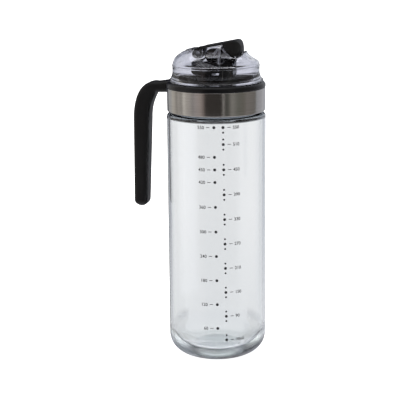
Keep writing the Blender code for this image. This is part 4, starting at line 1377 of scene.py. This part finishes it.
@dataclass
class ClearDome:
    """Clear lid: flared foot, straight wall, round shoulder and the nose that carries the flap."""

    wall: float = 0.0017
    radius: float = 0.0306
    side: float = 0.0112
    shoulder: float = 0.0130
    shoulder_round: float = 0.0005
    inner_drop: float = 0.7
    bead: Point = (0.00022, 0.0010)
    tongue: float = 0.0014
    tongue_depth: float = 0.0010
    roof_wall: float = 0.0011
    boss_radius: float = 0.0032
    pin_overhang: float = 0.0024
    levels: int = 34
    foot_rings: tuple[Point, ...] = ((0.0003, 0.0), (0.0001, 0.0002), (0.0, 0.0005), (0.0002, 0.0008),
                                     (0.0005, 0.0010), (0.0009, 0.0012), (0.0013, 0.0017), (0.0018, 0.0028),
                                     (0.0022, 0.0036))
    foot_rise: float = 0.0046
    side_rise: tuple[Point, ...] = ((0.0, 0.0), (0.12, 0.05), (0.32, 0.13), (0.55, 0.21), (0.75, 0.31),
                                    (0.89, 0.45), (0.97, 0.66), (1.0, 1.0))
    front_rise: tuple[Point, ...] = ((0.0, 0.0), (0.10, 0.06), (0.29, 0.13), (0.53, 0.22), (0.75, 0.33),
                                     (0.90, 0.44), (0.98, 0.62), (1.0, 1.0))
    rear_rise: tuple[Point, ...] = ((0.0, 0.0), (0.06, 0.22), (0.17, 0.42), (0.34, 0.60), (0.53, 0.76),
                                    (0.73, 0.91), (0.90, 0.985), (1.0, 1.0))
    sector_start: float = 0.35
    sector_blend: float = 0.55

    def rise(self, angle: float, share: float) -> Point:
        """How far in and up the skin has come between round shoulder and nose.

        Args:
            angle: Direction round the axis in radians.
            share: Level between shoulder and nose.

        Returns:
            Shares of the way in and of the way up.
        """
        rear = eased((-math.cos(angle) - self.sector_start) / self.sector_blend)
        front = eased((math.cos(angle) - self.sector_start) / self.sector_blend)
        weights = ((1 - rear - front, self.side_rise), (front, self.front_rise), (rear, self.rear_rise))
        rows = [(weight, along_rows(table, share)) for weight, table in weights]
        return sum(w * run for w, (run, _) in rows), sum(w * up for w, (_, up) in rows)

    def skin(self, name: str, inset: float, drop: float, foot: Sequence[Point]) -> Solid:
        """Closed solid of the dome's skin.

        Args:
            name: Name of the solid.
            inset: How far its sides are drawn in.
            drop: How far its roof is let down.
            foot: (radius, height) rings that it starts with.

        Returns:
            The solid.
        """
        radius = self.radius - inset
        plan, top_plan = NOSE.plan(inset), NOSE.plan(inset, NOSE.edge)
        angles = circle(DOME_STEPS)
        side_top = LEVELS.seat + self.side - inset * self.inner_drop
        shoulder = LEVELS.seat + self.shoulder - inset * self.inner_drop
        raised, tall = self.bead if inset == 0 else (0.0, self.bead[1])
        bead = [(radius + raised * math.sin(math.pi * t), side_top - tall * (1 - t))
                for t in (0.0, 0.2, 0.4, 0.6, 0.8)]
        side = list(foot) + bead + [(radius, side_top)]
        side += [(radius - self.shoulder_round * s * s, side_top + (shoulder - side_top) * s)
                 for s in (0.35, 0.7, 1.0)]
        rings = [[around(r, a, z) for a in angles] for r, z in side]
        start = radius - self.shoulder_round
        reaches = [reach_of_plan(plan, a) for a in angles]
        for level in range(1, self.levels + 1):
            ring = []
            for a, reach in zip(angles, reaches):
                run, up = self.rise(a, level / self.levels)
                distance = start + (reach - start) * run
                top = NOSE.roof(reach * math.cos(a)) - drop - NOSE.edge
                ring.append(around(distance, a, shoulder + (top - shoulder) * up))
            rings.append(ring)
        for share in (0.3, 0.6, 1.0):
            ring = []
            for a, reach in zip(angles, reaches):
                inner = reach_of_plan(top_plan, a)
                turn = share * math.pi / 2
                distance = reach + (inner - reach) * (1 - math.cos(turn))
                low = NOSE.roof(reach * math.cos(a)) - drop - NOSE.edge
                high = NOSE.roof(inner * math.cos(a)) - drop
                ring.append(around(distance, a, low + (high - low) * math.sin(turn)))
            rings.append(ring)
        return Solid(name, rings)

    def flap_recess(self) -> Solid:
        """Room that the flap takes out of the nose.

        Returns:
            The cutter.
        """
        nose = NOSE
        under = nose.strip + FIT
        high = nose.roof(nose.front) + CUT_PAST
        rear = nose.hinge.x - self.boss_radius - 2 * RUNNING_FIT
        outline = [(rear, high), (rear, nose.roof(rear) - under)] + nose.hood_rear(RUNNING_FIT)
        outline += [(nose.cheek[0], LEVELS.seat + nose.cheek[1] - RUNNING_FIT),
                    (nose.front - nose.lip_inset, LEVELS.seat + nose.chin - RUNNING_FIT),
                    (nose.front - nose.lip_inset, LEVELS.seat + nose.lip_height),
                    (nose.front + CUT_PAST, LEVELS.seat + nose.lip_height), (nose.front + CUT_PAST, high)]
        return Solid.side_prism("flap_recess", outline, -2 * nose.half_width, 2 * nose.half_width)

    def room(self) -> Solid:
        """Hollow of the dome, left solid round the two hinge bosses.

        Returns:
            The cutter.
        """
        foot = [(self.radius - self.wall, LEVELS.seat - self.tongue_depth - CUT_PAST)]
        room = self.skin("dome_room", self.wall, self.roof_wall, foot)
        hinge, inner = NOSE.hinge, NOSE.knuckle_half + RUNNING_FIT
        for side in (1, -1):
            ends = sorted((side * inner, side * (NOSE.half_width + self.boss_radius)))
            outline = arc((hinge.x, hinge.z), self.boss_radius, 180, 360, 24)
            outline += [(hinge.x + self.boss_radius, NOSE.roof(hinge.x)),
                        (hinge.x - self.boss_radius, NOSE.roof(hinge.x))]
            room.cut(Solid.side_prism(f"boss_{side}", outline, *ends))
        return room

    def build(self) -> None:
        """Build and dress the dome."""
        base = LEVELS.seat
        tongue_out = self.radius - self.wall + self.tongue
        foot = [(tongue_out, base - self.tongue_depth), (tongue_out, base)]
        foot += [(LEVELS.foot_radius - inward, base + rise) for inward, rise in self.foot_rings]
        foot += [(self.radius + FIT, base + self.foot_rise), (self.radius, base + self.foot_rise + 3 * FIT)]
        dome = self.skin("dome_shell", 0.0, 0.0, foot)
        dome.cut(self.room()).cut(self.flap_recess())
        hinge, inner = NOSE.hinge, NOSE.knuckle_half + RUNNING_FIT
        centre = (hinge.x, hinge.z)
        knuckle = NOSE.hinge_radius * math.cos(math.atan(NOSE.roof_slope)) + RUNNING_FIT
        dome.cut(Solid.rod("knuckle_room", centre, knuckle, -inner, inner, True, 64))
        reach = inner + self.pin_overhang + FIT
        dome.cut(Solid.rod("pin_bore", centre, NOSE.pin_radius + FIT, -reach, reach, True, 24))
        dome.dress(DOME_PLASTIC, Body.HEAD, "clear_dome", smooth_angle=62.0)


@dataclass
class PourCore:
    """Black insert under the nose: upright pour channel in front, drip tray behind it."""

    half_width: float = 0.0072
    wall: float = 0.0012
    front: float = 0.0133
    rear: float = 0.0160
    back_foot_x: float = -0.0125
    tray_foot: float = 0.0042
    bridge_foot: float = 0.0072
    back_foot: float = 0.0087
    rear_top: float = 0.0116
    front_top: float = 0.0123
    saddle: tuple[Point, ...] = ((-0.0090, 0.0116), (-0.0020, 0.0111), (0.0030, 0.0109), (0.0070, 0.0113))
    corner: float = 0.0016
    corner_rise: float = 0.0008
    tray_front_x: float = -0.0015
    channel_back_x: float = 0.0036
    bore_half: float = 0.0042
    chute_start: float = 0.0106
    chute_tip: float = 0.0206
    chute_tip_depth: float = 0.0022
    tip_gap: float = 0.0005
    chute_half: float = 0.0043
    spigot_wall: float = 0.0010
    drain_x: float = -0.0070
    drain_radius: float = 0.0015
    pad_seat: float = 0.0093
    dome_wall: float = ClearDome.wall

    def bore_span(self) -> Point:
        """X span of the pour bore."""
        return self.channel_back_x + self.wall, self.front - self.wall

    def spigot_span(self) -> Point:
        """X span of the spigot through the cap."""
        back, front = self.bore_span()
        return back - self.spigot_wall, front + self.spigot_wall

    def tip_x(self) -> float:
        """X of the chute's tip behind the hood's front face."""
        return NOSE.hood_inner_face - self.tip_gap

    def outline(self) -> list[Point]:
        """Side view of the core.

        Returns:
            Its (x, z) points.
        """
        back, tip = -self.rear, self.tip_x()
        rows = seated([(back, self.rear_top), *self.saddle, (self.front - self.corner, self.front_top)])
        saddle = [along_rows(rows, i / 20) for i in range(21)]
        rest = seated([(self.front, self.front_top + self.corner_rise), (tip, self.chute_tip),
                       (tip, self.chute_tip - self.chute_tip_depth), (self.front, self.chute_start),
                       (self.front, FIT), (self.channel_back_x, FIT),
                       (self.channel_back_x, self.bridge_foot), (self.tray_front_x, self.bridge_foot),
                       (self.tray_front_x, self.tray_foot)])
        heel = seated([(self.back_foot_x, self.tray_foot), (back + self.wall, self.tray_foot),
                       (back, self.back_foot)])
        return saddle + rest + curved(*heel, 8)

    def tray(self) -> list[Point]:
        """Side view of the hollow over the drip tray.

        Returns:
            Its (x, z) points.
        """
        base, over = LEVELS.seat, NOSE.roof(0.0)
        back = -self.rear + self.wall
        floor, bridge = base + self.tray_foot + self.wall, base + self.bridge_foot + self.wall
        slope = curved((back, base + self.back_foot + FIT), (back + self.wall, floor),
                       (self.back_foot_x + self.wall / 2, floor), 8)
        return [(back, over)] + slope + [(self.tray_front_x - self.wall, floor),
                                         (self.tray_front_x - self.wall, bridge),
                                         (self.channel_back_x, bridge), (self.channel_back_x, over)]

    def throat(self) -> list[Point]:
        """Side view of the hollow over the pad's shelf, leaning out to the chute's tip.

        Returns:
            Its (x, z) points.
        """
        seat = LEVELS.seat + self.pad_seat
        start = LEVELS.seat + self.chute_start - self.wall / 2
        front, past = self.front - self.wall, self.tip_x() + CUT_PAST
        lean = (self.chute_tip - self.chute_start) / (self.tip_x() - front)
        over = NOSE.roof(0.0)
        return [(self.channel_back_x, seat), (front, seat), (front, start),
                (past, start + (past - front) * lean), (past, over), (self.channel_back_x, over)]

    def build(self) -> None:
        """Build and dress the core."""
        nose, base, low = NOSE, LEVELS.seat, LEVELS.ceiling
        core = Solid.side_prism("core_insert", self.outline(), -self.half_width, self.half_width)
        spigot_half = self.bore_half + self.spigot_wall
        core.join(Solid.block("pour_spigot", self.spigot_span(), (-spigot_half, spigot_half),
                              (low, base + self.wall)))
        core.join(Solid.rod("drain_tube", (self.drain_x, 0.0), self.drain_radius + self.spigot_wall, low,
                            base + self.tray_foot + FIT))
        plan = bar_plan(-nose.rear, nose.front - self.dome_wall - FIT, self.half_width + FIT,
                        nose.rear_round - self.dome_wall, nose.front_round - self.dome_wall)
        core.keep(Solid.column("core_plan", plan, low - CUT_PAST, nose.roof(nose.front)))
        for side in (1, -1):
            across = sorted((side * self.chute_half, side * (self.half_width + CUT_PAST)))
            core.cut(Solid.block(f"chute_trim_{side}", (self.front, nose.front), across,
                                 (base + self.chute_start - CUT_PAST, nose.roof(nose.front))))
        inner = self.half_width - self.wall
        core.cut(Solid.side_prism("tray_room", self.tray(), -inner, inner))
        throat_half = self.chute_half - self.wall / 2
        core.cut(Solid.side_prism("throat_room", self.throat(), -throat_half, throat_half))
        shelf = (self.channel_back_x - FIT, self.front - self.wall - FIT)
        core.cut(Solid.block("pad_room", shelf, (-inner, inner), (base + self.pad_seat, nose.roof(0.0))))
        core.cut(Solid.block("pour_bore", self.bore_span(), (-self.bore_half, self.bore_half),
                             (low - CUT_PAST, base + self.pad_seat + CUT_PAST)))
        core.cut(Solid.rod("drain_bore", (self.drain_x, 0.0), self.drain_radius, low - CUT_PAST,
                           base + self.tray_foot + self.wall + CUT_PAST))
        core.dress(CORE_PLASTIC, Body.HEAD, "pour_core")


@dataclass
class Flap:
    """Black cover strip with the hood over the mouth, turning on its knuckle."""

    face: tuple[Point, ...] = ((0.0, 0.0082), (0.0002, 0.0060), (0.0011, 0.0032), (0.0027, 0.0014),
                               (0.0051, 0.0))
    chin_round: float = 0.0006
    room_rear: float = 0.0070
    room_face: tuple[Point, ...] = ((0.0034, 0.0042), (0.0014, 0.0072))
    boss_wall: float = 0.0014
    soft_edge: float = 0.00022

    def outline(self) -> list[Point]:
        """Side view of strip and hood.

        Returns:
            Its (x, z) points.
        """
        nose = NOSE
        chin, roof = LEVELS.seat + nose.chin, nose.roof(nose.hood_front)
        rows = [(nose.hood_front - back, roof - below) for back, below in self.face[:-1]]
        top_x = nose.hood_front - self.face[-1][0]
        rows.append((top_x, nose.roof(top_x)))
        face = [along_rows(rows, i / 16) for i in range(17)]
        cheek, front = (nose.cheek[0], LEVELS.seat + nose.cheek[1]), nose.hood_front
        bottom = curved(cheek, (front, chin - self.chin_round), (front, chin + 2 * self.chin_round), 6)
        rear, top = nose.strip_rear, nose.roof(nose.strip_rear)
        return [(rear, top), (rear, top - nose.strip)] + nose.hood_rear(0.0) + bottom + face

    def hood_room(self) -> Solid:
        """Hollow inside the hood, over the weight and the mouth.

        Returns:
            The cutter.
        """
        nose, base = NOSE, LEVELS.seat
        rear = nose.rear_edge[0][0] - self.room_rear
        face_x = nose.hood_front - self.room_face[0][0] - CUT_PAST
        roof = nose.roof(nose.hood_front)
        rows = [(nose.hood_front - back, roof - below) for back, below in self.room_face]
        outline = [(rear, base), (rear, nose.roof(rear) - nose.hood_wall),
                   (face_x, nose.roof(face_x) - nose.hood_wall)]
        outline += rows + [(nose.hood_front - nose.hood_wall / 2, base)]
        plan = bar_plan(rear + CUT_PAST, nose.hood_inner_face, nose.hood_half_width - nose.hood_wall,
                        CUT_PAST, nose.hood_front_round - nose.hood_wall)
        room = Solid.side_prism("hood_room", outline, -nose.hood_half_width, nose.hood_half_width)
        return room.keep(Solid.column("hood_room_plan", plan, base - CUT_PAST, nose.roof(nose.front)))

    def knuckle(self) -> list[Point]:
        """Side view of the knuckle, which runs up into the strip.

        Returns:
            Its (x, z) points.
        """
        nose = NOSE
        hinge, slope = nose.hinge, math.atan(nose.roof_slope)
        radius = nose.hinge_radius * math.cos(slope)
        front, inside = Weight.rear - FIT - RUNNING_FIT, nose.strip_rear + radius
        rear = nose.strip_rear
        return (arc((hinge.x, hinge.z), radius, 90 + math.degrees(slope), 300, 40)
                + [(front, hinge.z - radius / 3), (front, nose.roof(front) - nose.strip - RUNNING_FIT),
                   (inside, nose.roof(inside) - nose.strip / 2), (rear + FIT, nose.roof(rear + FIT) - FIT),
                   (rear - FIT, nose.roof(rear - FIT))])

    def build(self) -> None:
        """Build and dress the flap."""
        nose, base = NOSE, LEVELS.seat
        half = nose.hood_half_width
        flap = Solid.side_prism("flap_cover", self.outline(), -2 * half, 2 * half)
        plan = bar_plan(-nose.rear, nose.hood_front + FIT, half, nose.rear_round, nose.hood_front_round)
        flap.keep(Solid.column("hood_plan", plan, base, nose.roof(nose.front) + CUT_PAST))
        flap.cut(self.hood_room())
        flap.join(Solid.side_prism("knuckle", self.knuckle(), -nose.knuckle_half, nose.knuckle_half))
        centre = (nose.hinge.x, nose.hinge.z)
        flap.cut(Solid.rod("knuckle_bore", centre, NOSE.pin_radius + FIT, -2 * nose.knuckle_half,
                           2 * nose.knuckle_half, True, 24))
        weight = Weight()
        place, bore, boss_low = (weight.screw_x, 0.0), weight.screw_radius + FIT, weight.top + FIT
        flap.join(Solid.rod("screw_boss", place, bore + self.boss_wall, boss_low,
                            nose.roof(weight.screw_x) - nose.hood_wall / 2, steps=32))
        flap.cut(Solid.rod("boss_bore", place, bore, boss_low - CUT_PAST, boss_low + weight.bite + FIT,
                           steps=24))
        flap.soften(self.soft_edge)
        flap.dress(FLAP_PLASTIC, Body.FLAP, "flap", smooth_angle=30.0)


@dataclass
class Weight:
    """Chromed barrel under the flap, with flats above and below and the screw and pad that go with it."""

    rear: float = -0.0067
    front: float = 0.0132
    radius: float = 0.0060
    height: float = 0.0164
    end_round: float = 0.0045
    flat: float = 0.0008
    screw_x: float = 0.0076
    screw_radius: float = 0.0010
    head_radius: float = 0.0019
    head_height: float = 0.0012
    head_depth: float = 0.0011
    bite: float = 0.0021
    chamfer: float = 0.0005
    slot: Point = (0.0005, 0.0014)
    thread_turns: int = 8
    thread_depth: float = 0.00018
    pad_length: float = 0.0076
    pad_half_width: float = 0.0044
    pad_thickness: float = 0.0013
    pad_corner: float = 0.0008
    soft_edge: float = 0.00018
    pad_soft_edge: float = 0.00025

    @property
    def middle(self) -> float:
        """Height of the barrel's middle line."""
        return LEVELS.seat + self.height

    @property
    def floor(self) -> float:
        """Height of the flat under the barrel."""
        return self.middle - self.radius + self.flat

    @property
    def top(self) -> float:
        """Height of the flat on top of the barrel."""
        return self.middle + self.radius - self.flat

    def build_barrel(self) -> None:
        """Build and dress the barrel."""
        end, flat_end = self.end_round, self.radius - self.end_round
        outline = arc((self.rear + end, flat_end), end, 180, 90, 12)
        outline += [(self.rear + end + (self.front - self.rear - 2 * end) * i / 6, self.radius)
                    for i in range(1, 6)]
        outline += arc((self.front - end, flat_end), end, 90, 0, 12)
        turn = Matrix.Translation((0.0, 0.0, self.middle)) @ Matrix.Rotation(math.radians(90), 4, "Y")
        barrel = Solid.turned("weight_barrel", [(r, x) for x, r in outline], 96).move(turn)
        wide = 2 * self.radius
        across = (-wide, wide)
        barrel.cut(Solid.block("weight_floor", (self.rear - wide, self.front + wide), across,
                               (self.floor - wide, self.floor)))
        barrel.cut(Solid.block("weight_top", (self.screw_x - self.radius, self.front + wide), across,
                               (self.top, self.top + wide)))
        centre = (self.screw_x, 0.0)
        barrel.cut(Solid.rod("screw_hole", centre, self.screw_radius + FIT, self.floor - CUT_PAST,
                             self.top + wide, steps=32))
        barrel.cut(Solid.rod("head_hole", centre, self.head_radius + FIT, self.floor - wide,
                             self.floor + self.head_depth + self.head_height + FIT, steps=32))
        barrel.soften(self.soft_edge, angle=40.0)
        barrel.dress(WEIGHT_CHROME, Body.FLAP, "counterweight", smooth_angle=30.0)

    def build_screw(self) -> None:
        """Build and dress the screw with its cross slot."""
        head = self.floor + self.head_depth
        under = head + self.head_height
        tip = self.top + FIT + self.bite
        profile = [(self.head_radius - self.chamfer, head), (self.head_radius, head + self.chamfer),
                   (self.head_radius, under), (self.screw_radius, under)]
        start = under + self.chamfer
        pitch = (tip - self.chamfer - start) / self.thread_turns
        for i in range(self.thread_turns):
            profile += [(self.screw_radius, start + pitch * i),
                        (self.screw_radius - self.thread_depth, start + pitch * (i + 0.5))]
        profile += [(self.screw_radius, tip - self.chamfer), (self.screw_radius - self.chamfer, tip)]
        screw = Solid.turned("weight_screw_body", profile, 32)
        width, length = self.slot
        for a, b in ((width, length), (length, width)):
            screw.cut(Solid.block("cross_slot", (-a / 2, a / 2), (-b, b) if b > a else (-b / 2, b / 2),
                                  (head - CUT_PAST, head + self.chamfer)))
        screw.move(Matrix.Translation((self.screw_x, 0.0, 0.0)))
        screw.dress(SCREW_STEEL, Body.FLAP, "weight_screw")

    def build_pad(self) -> None:
        """Build and dress the pad that closes the pour channel."""
        high = self.floor - FIT
        low = high - self.pad_thickness
        plan = bar_plan(self.screw_x - self.pad_length / 2, self.screw_x + self.pad_length / 2,
                        self.pad_half_width, self.pad_corner, self.pad_corner, 5)
        pad = Solid.column("closing_pad", plan, low, high)
        pad.join(Solid.rod("pad_plug", (self.screw_x, 0.0), self.head_radius, low + self.pad_thickness / 2,
                           high + self.head_depth, steps=32))
        pad.soften(self.pad_soft_edge, 3)
        pad.dress(PAD_SILICONE, Body.FLAP, "stopper_pad")

    def build(self) -> None:
        """Build barrel, screw and pad."""
        self.build_barrel()
        self.build_screw()
        self.build_pad()


@dataclass
class SmallParts:
    """Hinge pin and the two silicone rings."""

    pin_chamfer: float = 0.0002

    def build(self) -> None:
        """Build the pin and dress the rings."""
        low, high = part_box("hinge_pin")
        inner, edge = NOSE.pin_radius - self.pin_chamfer, self.pin_chamfer
        profile = [(inner, low.y), (NOSE.pin_radius, low.y + edge), (NOSE.pin_radius, high.y - edge),
                   (inner, high.y)]
        turn = Matrix.Translation(NOSE.hinge) @ Matrix.Rotation(math.radians(-90), 4, "X")
        Solid.turned("pin_body", profile, 32).move(turn).dress(PIN_STEEL, Body.HEAD, "hinge_pin")
        for node, finish in (("neck_gasket", CLEAR_SILICONE), ("dome_seal", SEAL_SILICONE)):
            dressed(frame["nodes"][node], finish)
            log.info("%s keeps its CAD shape", node)


@dataclass
class NoseRibs:
    """Moulded ribs on the outer cheeks of the nose, which meet under the cover strip."""

    depth: float = 0.0005
    head: Point = (0.0050, 0.0251)
    upright_foot: Point = (0.0035, 0.0112)
    leaning_foot: Point = (0.0006, 0.0188)
    upright_width: Point = (0.0012, 0.0018)
    leaning_width: Point = (0.0022, 0.0010)
    rim_width: Point = (0.0011, 0.0009)
    rim_gap: float = 0.0009

    def rib(self, name: str, line: Sequence[Point], widths: Point, side: int) -> Solid:
        """Build one rib.

        Args:
            name: Name of the piece.
            line: (x, z) points along its ridge.
            widths: Its widths at the first and the last point.
            side: 1 for the left cheek, -1 for the right one.

        Returns:
            The rib, a low roof-shaped bar.
        """
        face = NOSE.half_width - FIT
        rings = []
        for i, (x, z) in enumerate(line):
            before, after = line[max(i - 1, 0)], line[min(i + 1, len(line) - 1)]
            along = Vector((after[0] - before[0], after[1] - before[1])).normalized()
            half = (widths[0] + (widths[1] - widths[0]) * i / (len(line) - 1)) / 2
            over_x, over_z = -along.y * half, along.x * half
            rings.append([(x - over_x, side * face, z - over_z),
                          (x - over_x / 2, side * (face + self.depth), z - over_z / 2),
                          (x + over_x / 2, side * (face + self.depth), z + over_z / 2),
                          (x + over_x, side * face, z + over_z)])
        return Solid(name, rings)

    def build(self) -> None:
        """Build and dress the ribs of both cheeks."""
        head, upright, leaning = ((x, LEVELS.seat + z) for x, z in
                                  (self.head, self.upright_foot, self.leaning_foot))
        rim = NOSE.hood_rear(self.rim_gap)[2:]
        lines = {"upright": ([upright, head], self.upright_width),
                 "leaning": ([leaning, head], self.leaning_width), "rim": (rim, self.rim_width)}
        for side, label in ((1, "left"), (-1, "right")):
            for name, (line, widths) in lines.items():
                rib = self.rib(f"nose_rib_{name}_{label}", line, widths, side)
                # Their near-white finish is a painted highlight.
                rib.dress(PAINTED_RIB_HIGHLIGHT, Body.HEAD, smooth_angle=20.0)


@dataclass(frozen=True)
class Band:
    """Brightness of the room in one direction.

    Attributes:
        azimuth: Degrees from the direction towards the camera, positive to its right.
        colour: The room's colour there.
    """

    azimuth: float
    colour: Colour


@dataclass
class Studio:
    """Pale floor, soft light and the camera at the photograph's angle."""

    lens: float = 107.2
    sensor: float = 36.0
    distance: float = 0.8343
    height: float = 0.3067
    pitch: float = math.radians(13.07)
    yaw: float = math.radians(-0.828)
    roll: float = math.radians(-0.555)
    turn: float = math.radians(12.0)
    floor_radius: float = 9.0
    floor_depth: float = 0.02
    floor_steps: int = 96
    lamp_place: Place = (0.1, 0.1, 1.3)
    lamp_size: float = 0.9
    lamp_power: float = 9.0
    lamp_aim: Place = (0.0, 0.0, 0.15)
    backdrop: Colour = (1.05, 1.05, 1.05)
    overhead: Colour = (1.3, 1.3, 1.3)
    overhead_mirrored: Colour = (1.0, 1.0, 1.03)
    diffuse_grey: Colour = (0.95, 0.95, 0.95)
    paper_seen: Colour = (0.80, 0.82, 0.84)
    paper_mirrored: Colour = (0.95, 0.95, 1.0)
    mirrored: tuple[Band, ...] = (
        Band(-180, (0.01, 0.01, 0.02)), Band(-155, (0.03, 0.03, 0.04)), Band(-149, (0.44, 0.45, 0.47)),
        Band(-132, (0.52, 0.52, 0.52)), Band(-122, (0.66, 0.63, 0.58)), Band(-112, (0.56, 0.53, 0.49)),
        Band(-106, (0.36, 0.34, 0.32)), Band(-99, (0.54, 0.51, 0.48)), Band(-88, (0.40, 0.38, 0.36)),
        Band(-80, (0.88, 0.85, 0.80)), Band(-75, (0.58, 0.55, 0.52)), Band(-64, (0.52, 0.49, 0.47)),
        Band(-56, (0.36, 0.34, 0.34)), Band(-50, (0.48, 0.44, 0.44)), Band(-37, (0.46, 0.40, 0.38)),
        Band(-29, (0.24, 0.20, 0.19)), Band(-25, (0.055, 0.048, 0.045)), Band(12, (0.050, 0.045, 0.042)),
        Band(15.9, (0.10, 0.09, 0.09)), Band(16.6, (0.80, 0.78, 0.75)), Band(17.8, (0.80, 0.78, 0.75)),
        Band(18.4, (0.095, 0.09, 0.085)), Band(28, (0.11, 0.11, 0.10)), Band(37, (0.33, 0.32, 0.30)),
        Band(52, (0.20, 0.20, 0.18)), Band(68, (0.20, 0.19, 0.17)),
        Band(76, (0.28, 0.26, 0.25)), Band(104, (0.23, 0.22, 0.21)),
        Band(109, (0.46, 0.47, 0.51)), Band(150, (0.62, 0.63, 0.68)), Band(164, (0.46, 0.48, 0.53)),
        Band(180, (0.05, 0.06, 0.08)),
    )
    refracted: tuple[Band, ...] = (
        Band(-180, (0.90, 0.91, 0.92)), Band(-166, (0.92, 0.93, 0.94)), Band(-161, (0.78, 0.80, 0.84)),
        Band(-158.5, (0.34, 0.36, 0.41)), Band(-147, (0.42, 0.44, 0.48)), Band(-128, (0.50, 0.51, 0.53)),
        Band(-110, (0.62, 0.60, 0.52)), Band(-75, (0.45, 0.43, 0.36)), Band(-45, (0.10, 0.10, 0.10)),
        Band(0, (0.10, 0.10, 0.10)), Band(45, (0.10, 0.10, 0.11)), Band(62, (1.5, 1.5, 1.6)),
        Band(105, (1.5, 1.5, 1.6)), Band(125, (0.50, 0.52, 0.55)), Band(147, (0.54, 0.57, 0.62)),
        Band(158, (0.66, 0.69, 0.74)), Band(161, (0.84, 0.86, 0.88)), Band(166, (0.92, 0.93, 0.94)),
        Band(180, (0.90, 0.91, 0.92)),
    )
    overhead_refracted: Colour = (0.30, 0.30, 0.33)
    over_edges: Point = (0.74, 0.96)
    paper_edges: Point = (-0.58, -0.80)
    over_seen_edges: Point = (0.55, 0.75)
    paper_seen_edges: Point = (-0.22, -0.38)

    def camera(self) -> None:
        """Place the camera that the photograph was taken with."""
        data = bpy.data.cameras.new("photo_camera")
        data.lens = self.lens
        data.sensor_width = self.sensor
        data.clip_end = 50.0
        camera = in_scene("photo_camera", data)
        level = math.cos(self.pitch)
        forward = Vector((math.sin(self.yaw) * level, math.cos(self.yaw) * level, -math.sin(self.pitch)))
        right = Vector((math.cos(self.yaw), -math.sin(self.yaw), 0.0))
        up = right.cross(forward)
        rolled_right = right * math.cos(self.roll) + up * math.sin(self.roll)
        rolled_up = up * math.cos(self.roll) - right * math.sin(self.roll)
        axes = Matrix((rolled_right, rolled_up, -forward)).transposed().to_4x4()
        axes.translation = Vector((0.0, -self.distance, self.height))
        camera.matrix_world = Matrix.Rotation(self.turn, 4, "Z") @ axes
        bpy.context.scene.camera = camera

    def floor(self) -> None:
        """Lay the pale floor."""
        profile = [(self.floor_radius, -self.floor_depth), (self.floor_radius, 0.0)]
        paper = Solid.turned("studio_floor", profile, self.floor_steps).piece
        paper.data.materials.append(STUDIO_PAPER.material())
        paper.visible_glossy = False
        paper.visible_transmission = False

    def panorama(self, graph: NodeGraph, share: bpy.types.NodeSocket,
                 bands: Sequence[Band]) -> bpy.types.NodeSocket:
        """Colour of the room by azimuth.

        Args:
            graph: The world's nodes.
            share: Azimuth from 0 to 1, with the camera's direction in the middle.
            bands: Its colours.

        Returns:
            The colour socket.
        """
        ramp = graph.add("ValToRGB")
        elements = ramp.color_ramp.elements
        elements.remove(elements[1])
        for i, band in enumerate(bands):
            place = 0.5 + band.azimuth / 360
            element = elements[0] if i == 0 else elements.new(place)
            element.position = place
            element.color = (*band.colour, 1.0)
        graph.link(share, ramp.inputs["Fac"])
        return ramp.outputs["Color"]

    def room(self) -> None:
        """Light the room: white behind the object, bands of grey for what metal and glass show of it."""
        world = bpy.data.worlds.new("studio_room")
        bpy.context.scene.world = world
        world.use_nodes = True
        world.node_tree.nodes.clear()
        graph = NodeGraph(world.node_tree)
        parts = graph.split("Generated").outputs
        whole = 2 * math.pi
        angle = graph.maths("ARCTAN2", parts["Y"], parts["X"])
        share = graph.maths("MULTIPLY_ADD", angle, 1 / whole, 1.5 + (math.pi / 2 - self.turn) / whole)
        azimuth = graph.maths("FRACT", share)
        height = parts["Z"]
        above = graph.mapped(height, self.over_edges)
        mirrored = graph.mixed(above, self.panorama(graph, azimuth, self.mirrored), self.overhead_mirrored)
        mirrored = graph.mixed(graph.mapped(height, self.paper_edges), mirrored, self.paper_mirrored)
        refracted = graph.mixed(graph.mapped(height, self.paper_seen_edges),
                                self.panorama(graph, azimuth, self.refracted), self.paper_seen)
        refracted = graph.mixed(graph.mapped(height, self.over_seen_edges), refracted,
                                self.overhead_refracted)
        rays = graph.add("LightPath").outputs
        colour = graph.mixed(above, self.diffuse_grey, self.overhead)
        for kind, seen in (("Glossy", mirrored), ("Transmission", refracted), ("Camera", self.backdrop)):
            colour = graph.mixed(rays[f"Is {kind} Ray"], colour, seen)
        light = graph.add("Background")
        graph.link(colour, light.inputs["Color"])
        output = graph.add("OutputWorld")
        graph.link(light.outputs[0], output.inputs["Surface"])

    def lamp(self) -> None:
        """Hang the soft lamp over the object."""
        data = bpy.data.lights.new("top_softbox", "AREA")
        data.size = self.lamp_size
        data.energy = self.lamp_power
        lamp = in_scene("top_softbox", data)
        lamp.location = self.lamp_place
        aim = Vector(self.lamp_aim) - Vector(self.lamp_place)
        lamp.rotation_euler = aim.to_track_quat("-Z", "Y").to_euler()
        lamp.visible_glossy = False

    def build(self) -> None:
        """Set up floor, light and camera."""
        self.floor()
        self.room()
        self.lamp()
        self.camera()
        bpy.context.scene.view_settings.view_transform = "Standard"
        log.info("studio ready")


def main() -> None:
    """Build every sub-assembly from the base upwards, then the studio."""
    logging.basicConfig(level=logging.INFO, format="%(message)s")
    for assembly in (GlassBottle(), VolumeScale(), SteelBand(), ScrewCap(), HandleRing(), ClearDome(),
                     NoseRibs(), PourCore(), Flap(), Weight(), SmallParts(), Studio()):
        assembly.build()


if __name__ == "__main__":
    main()
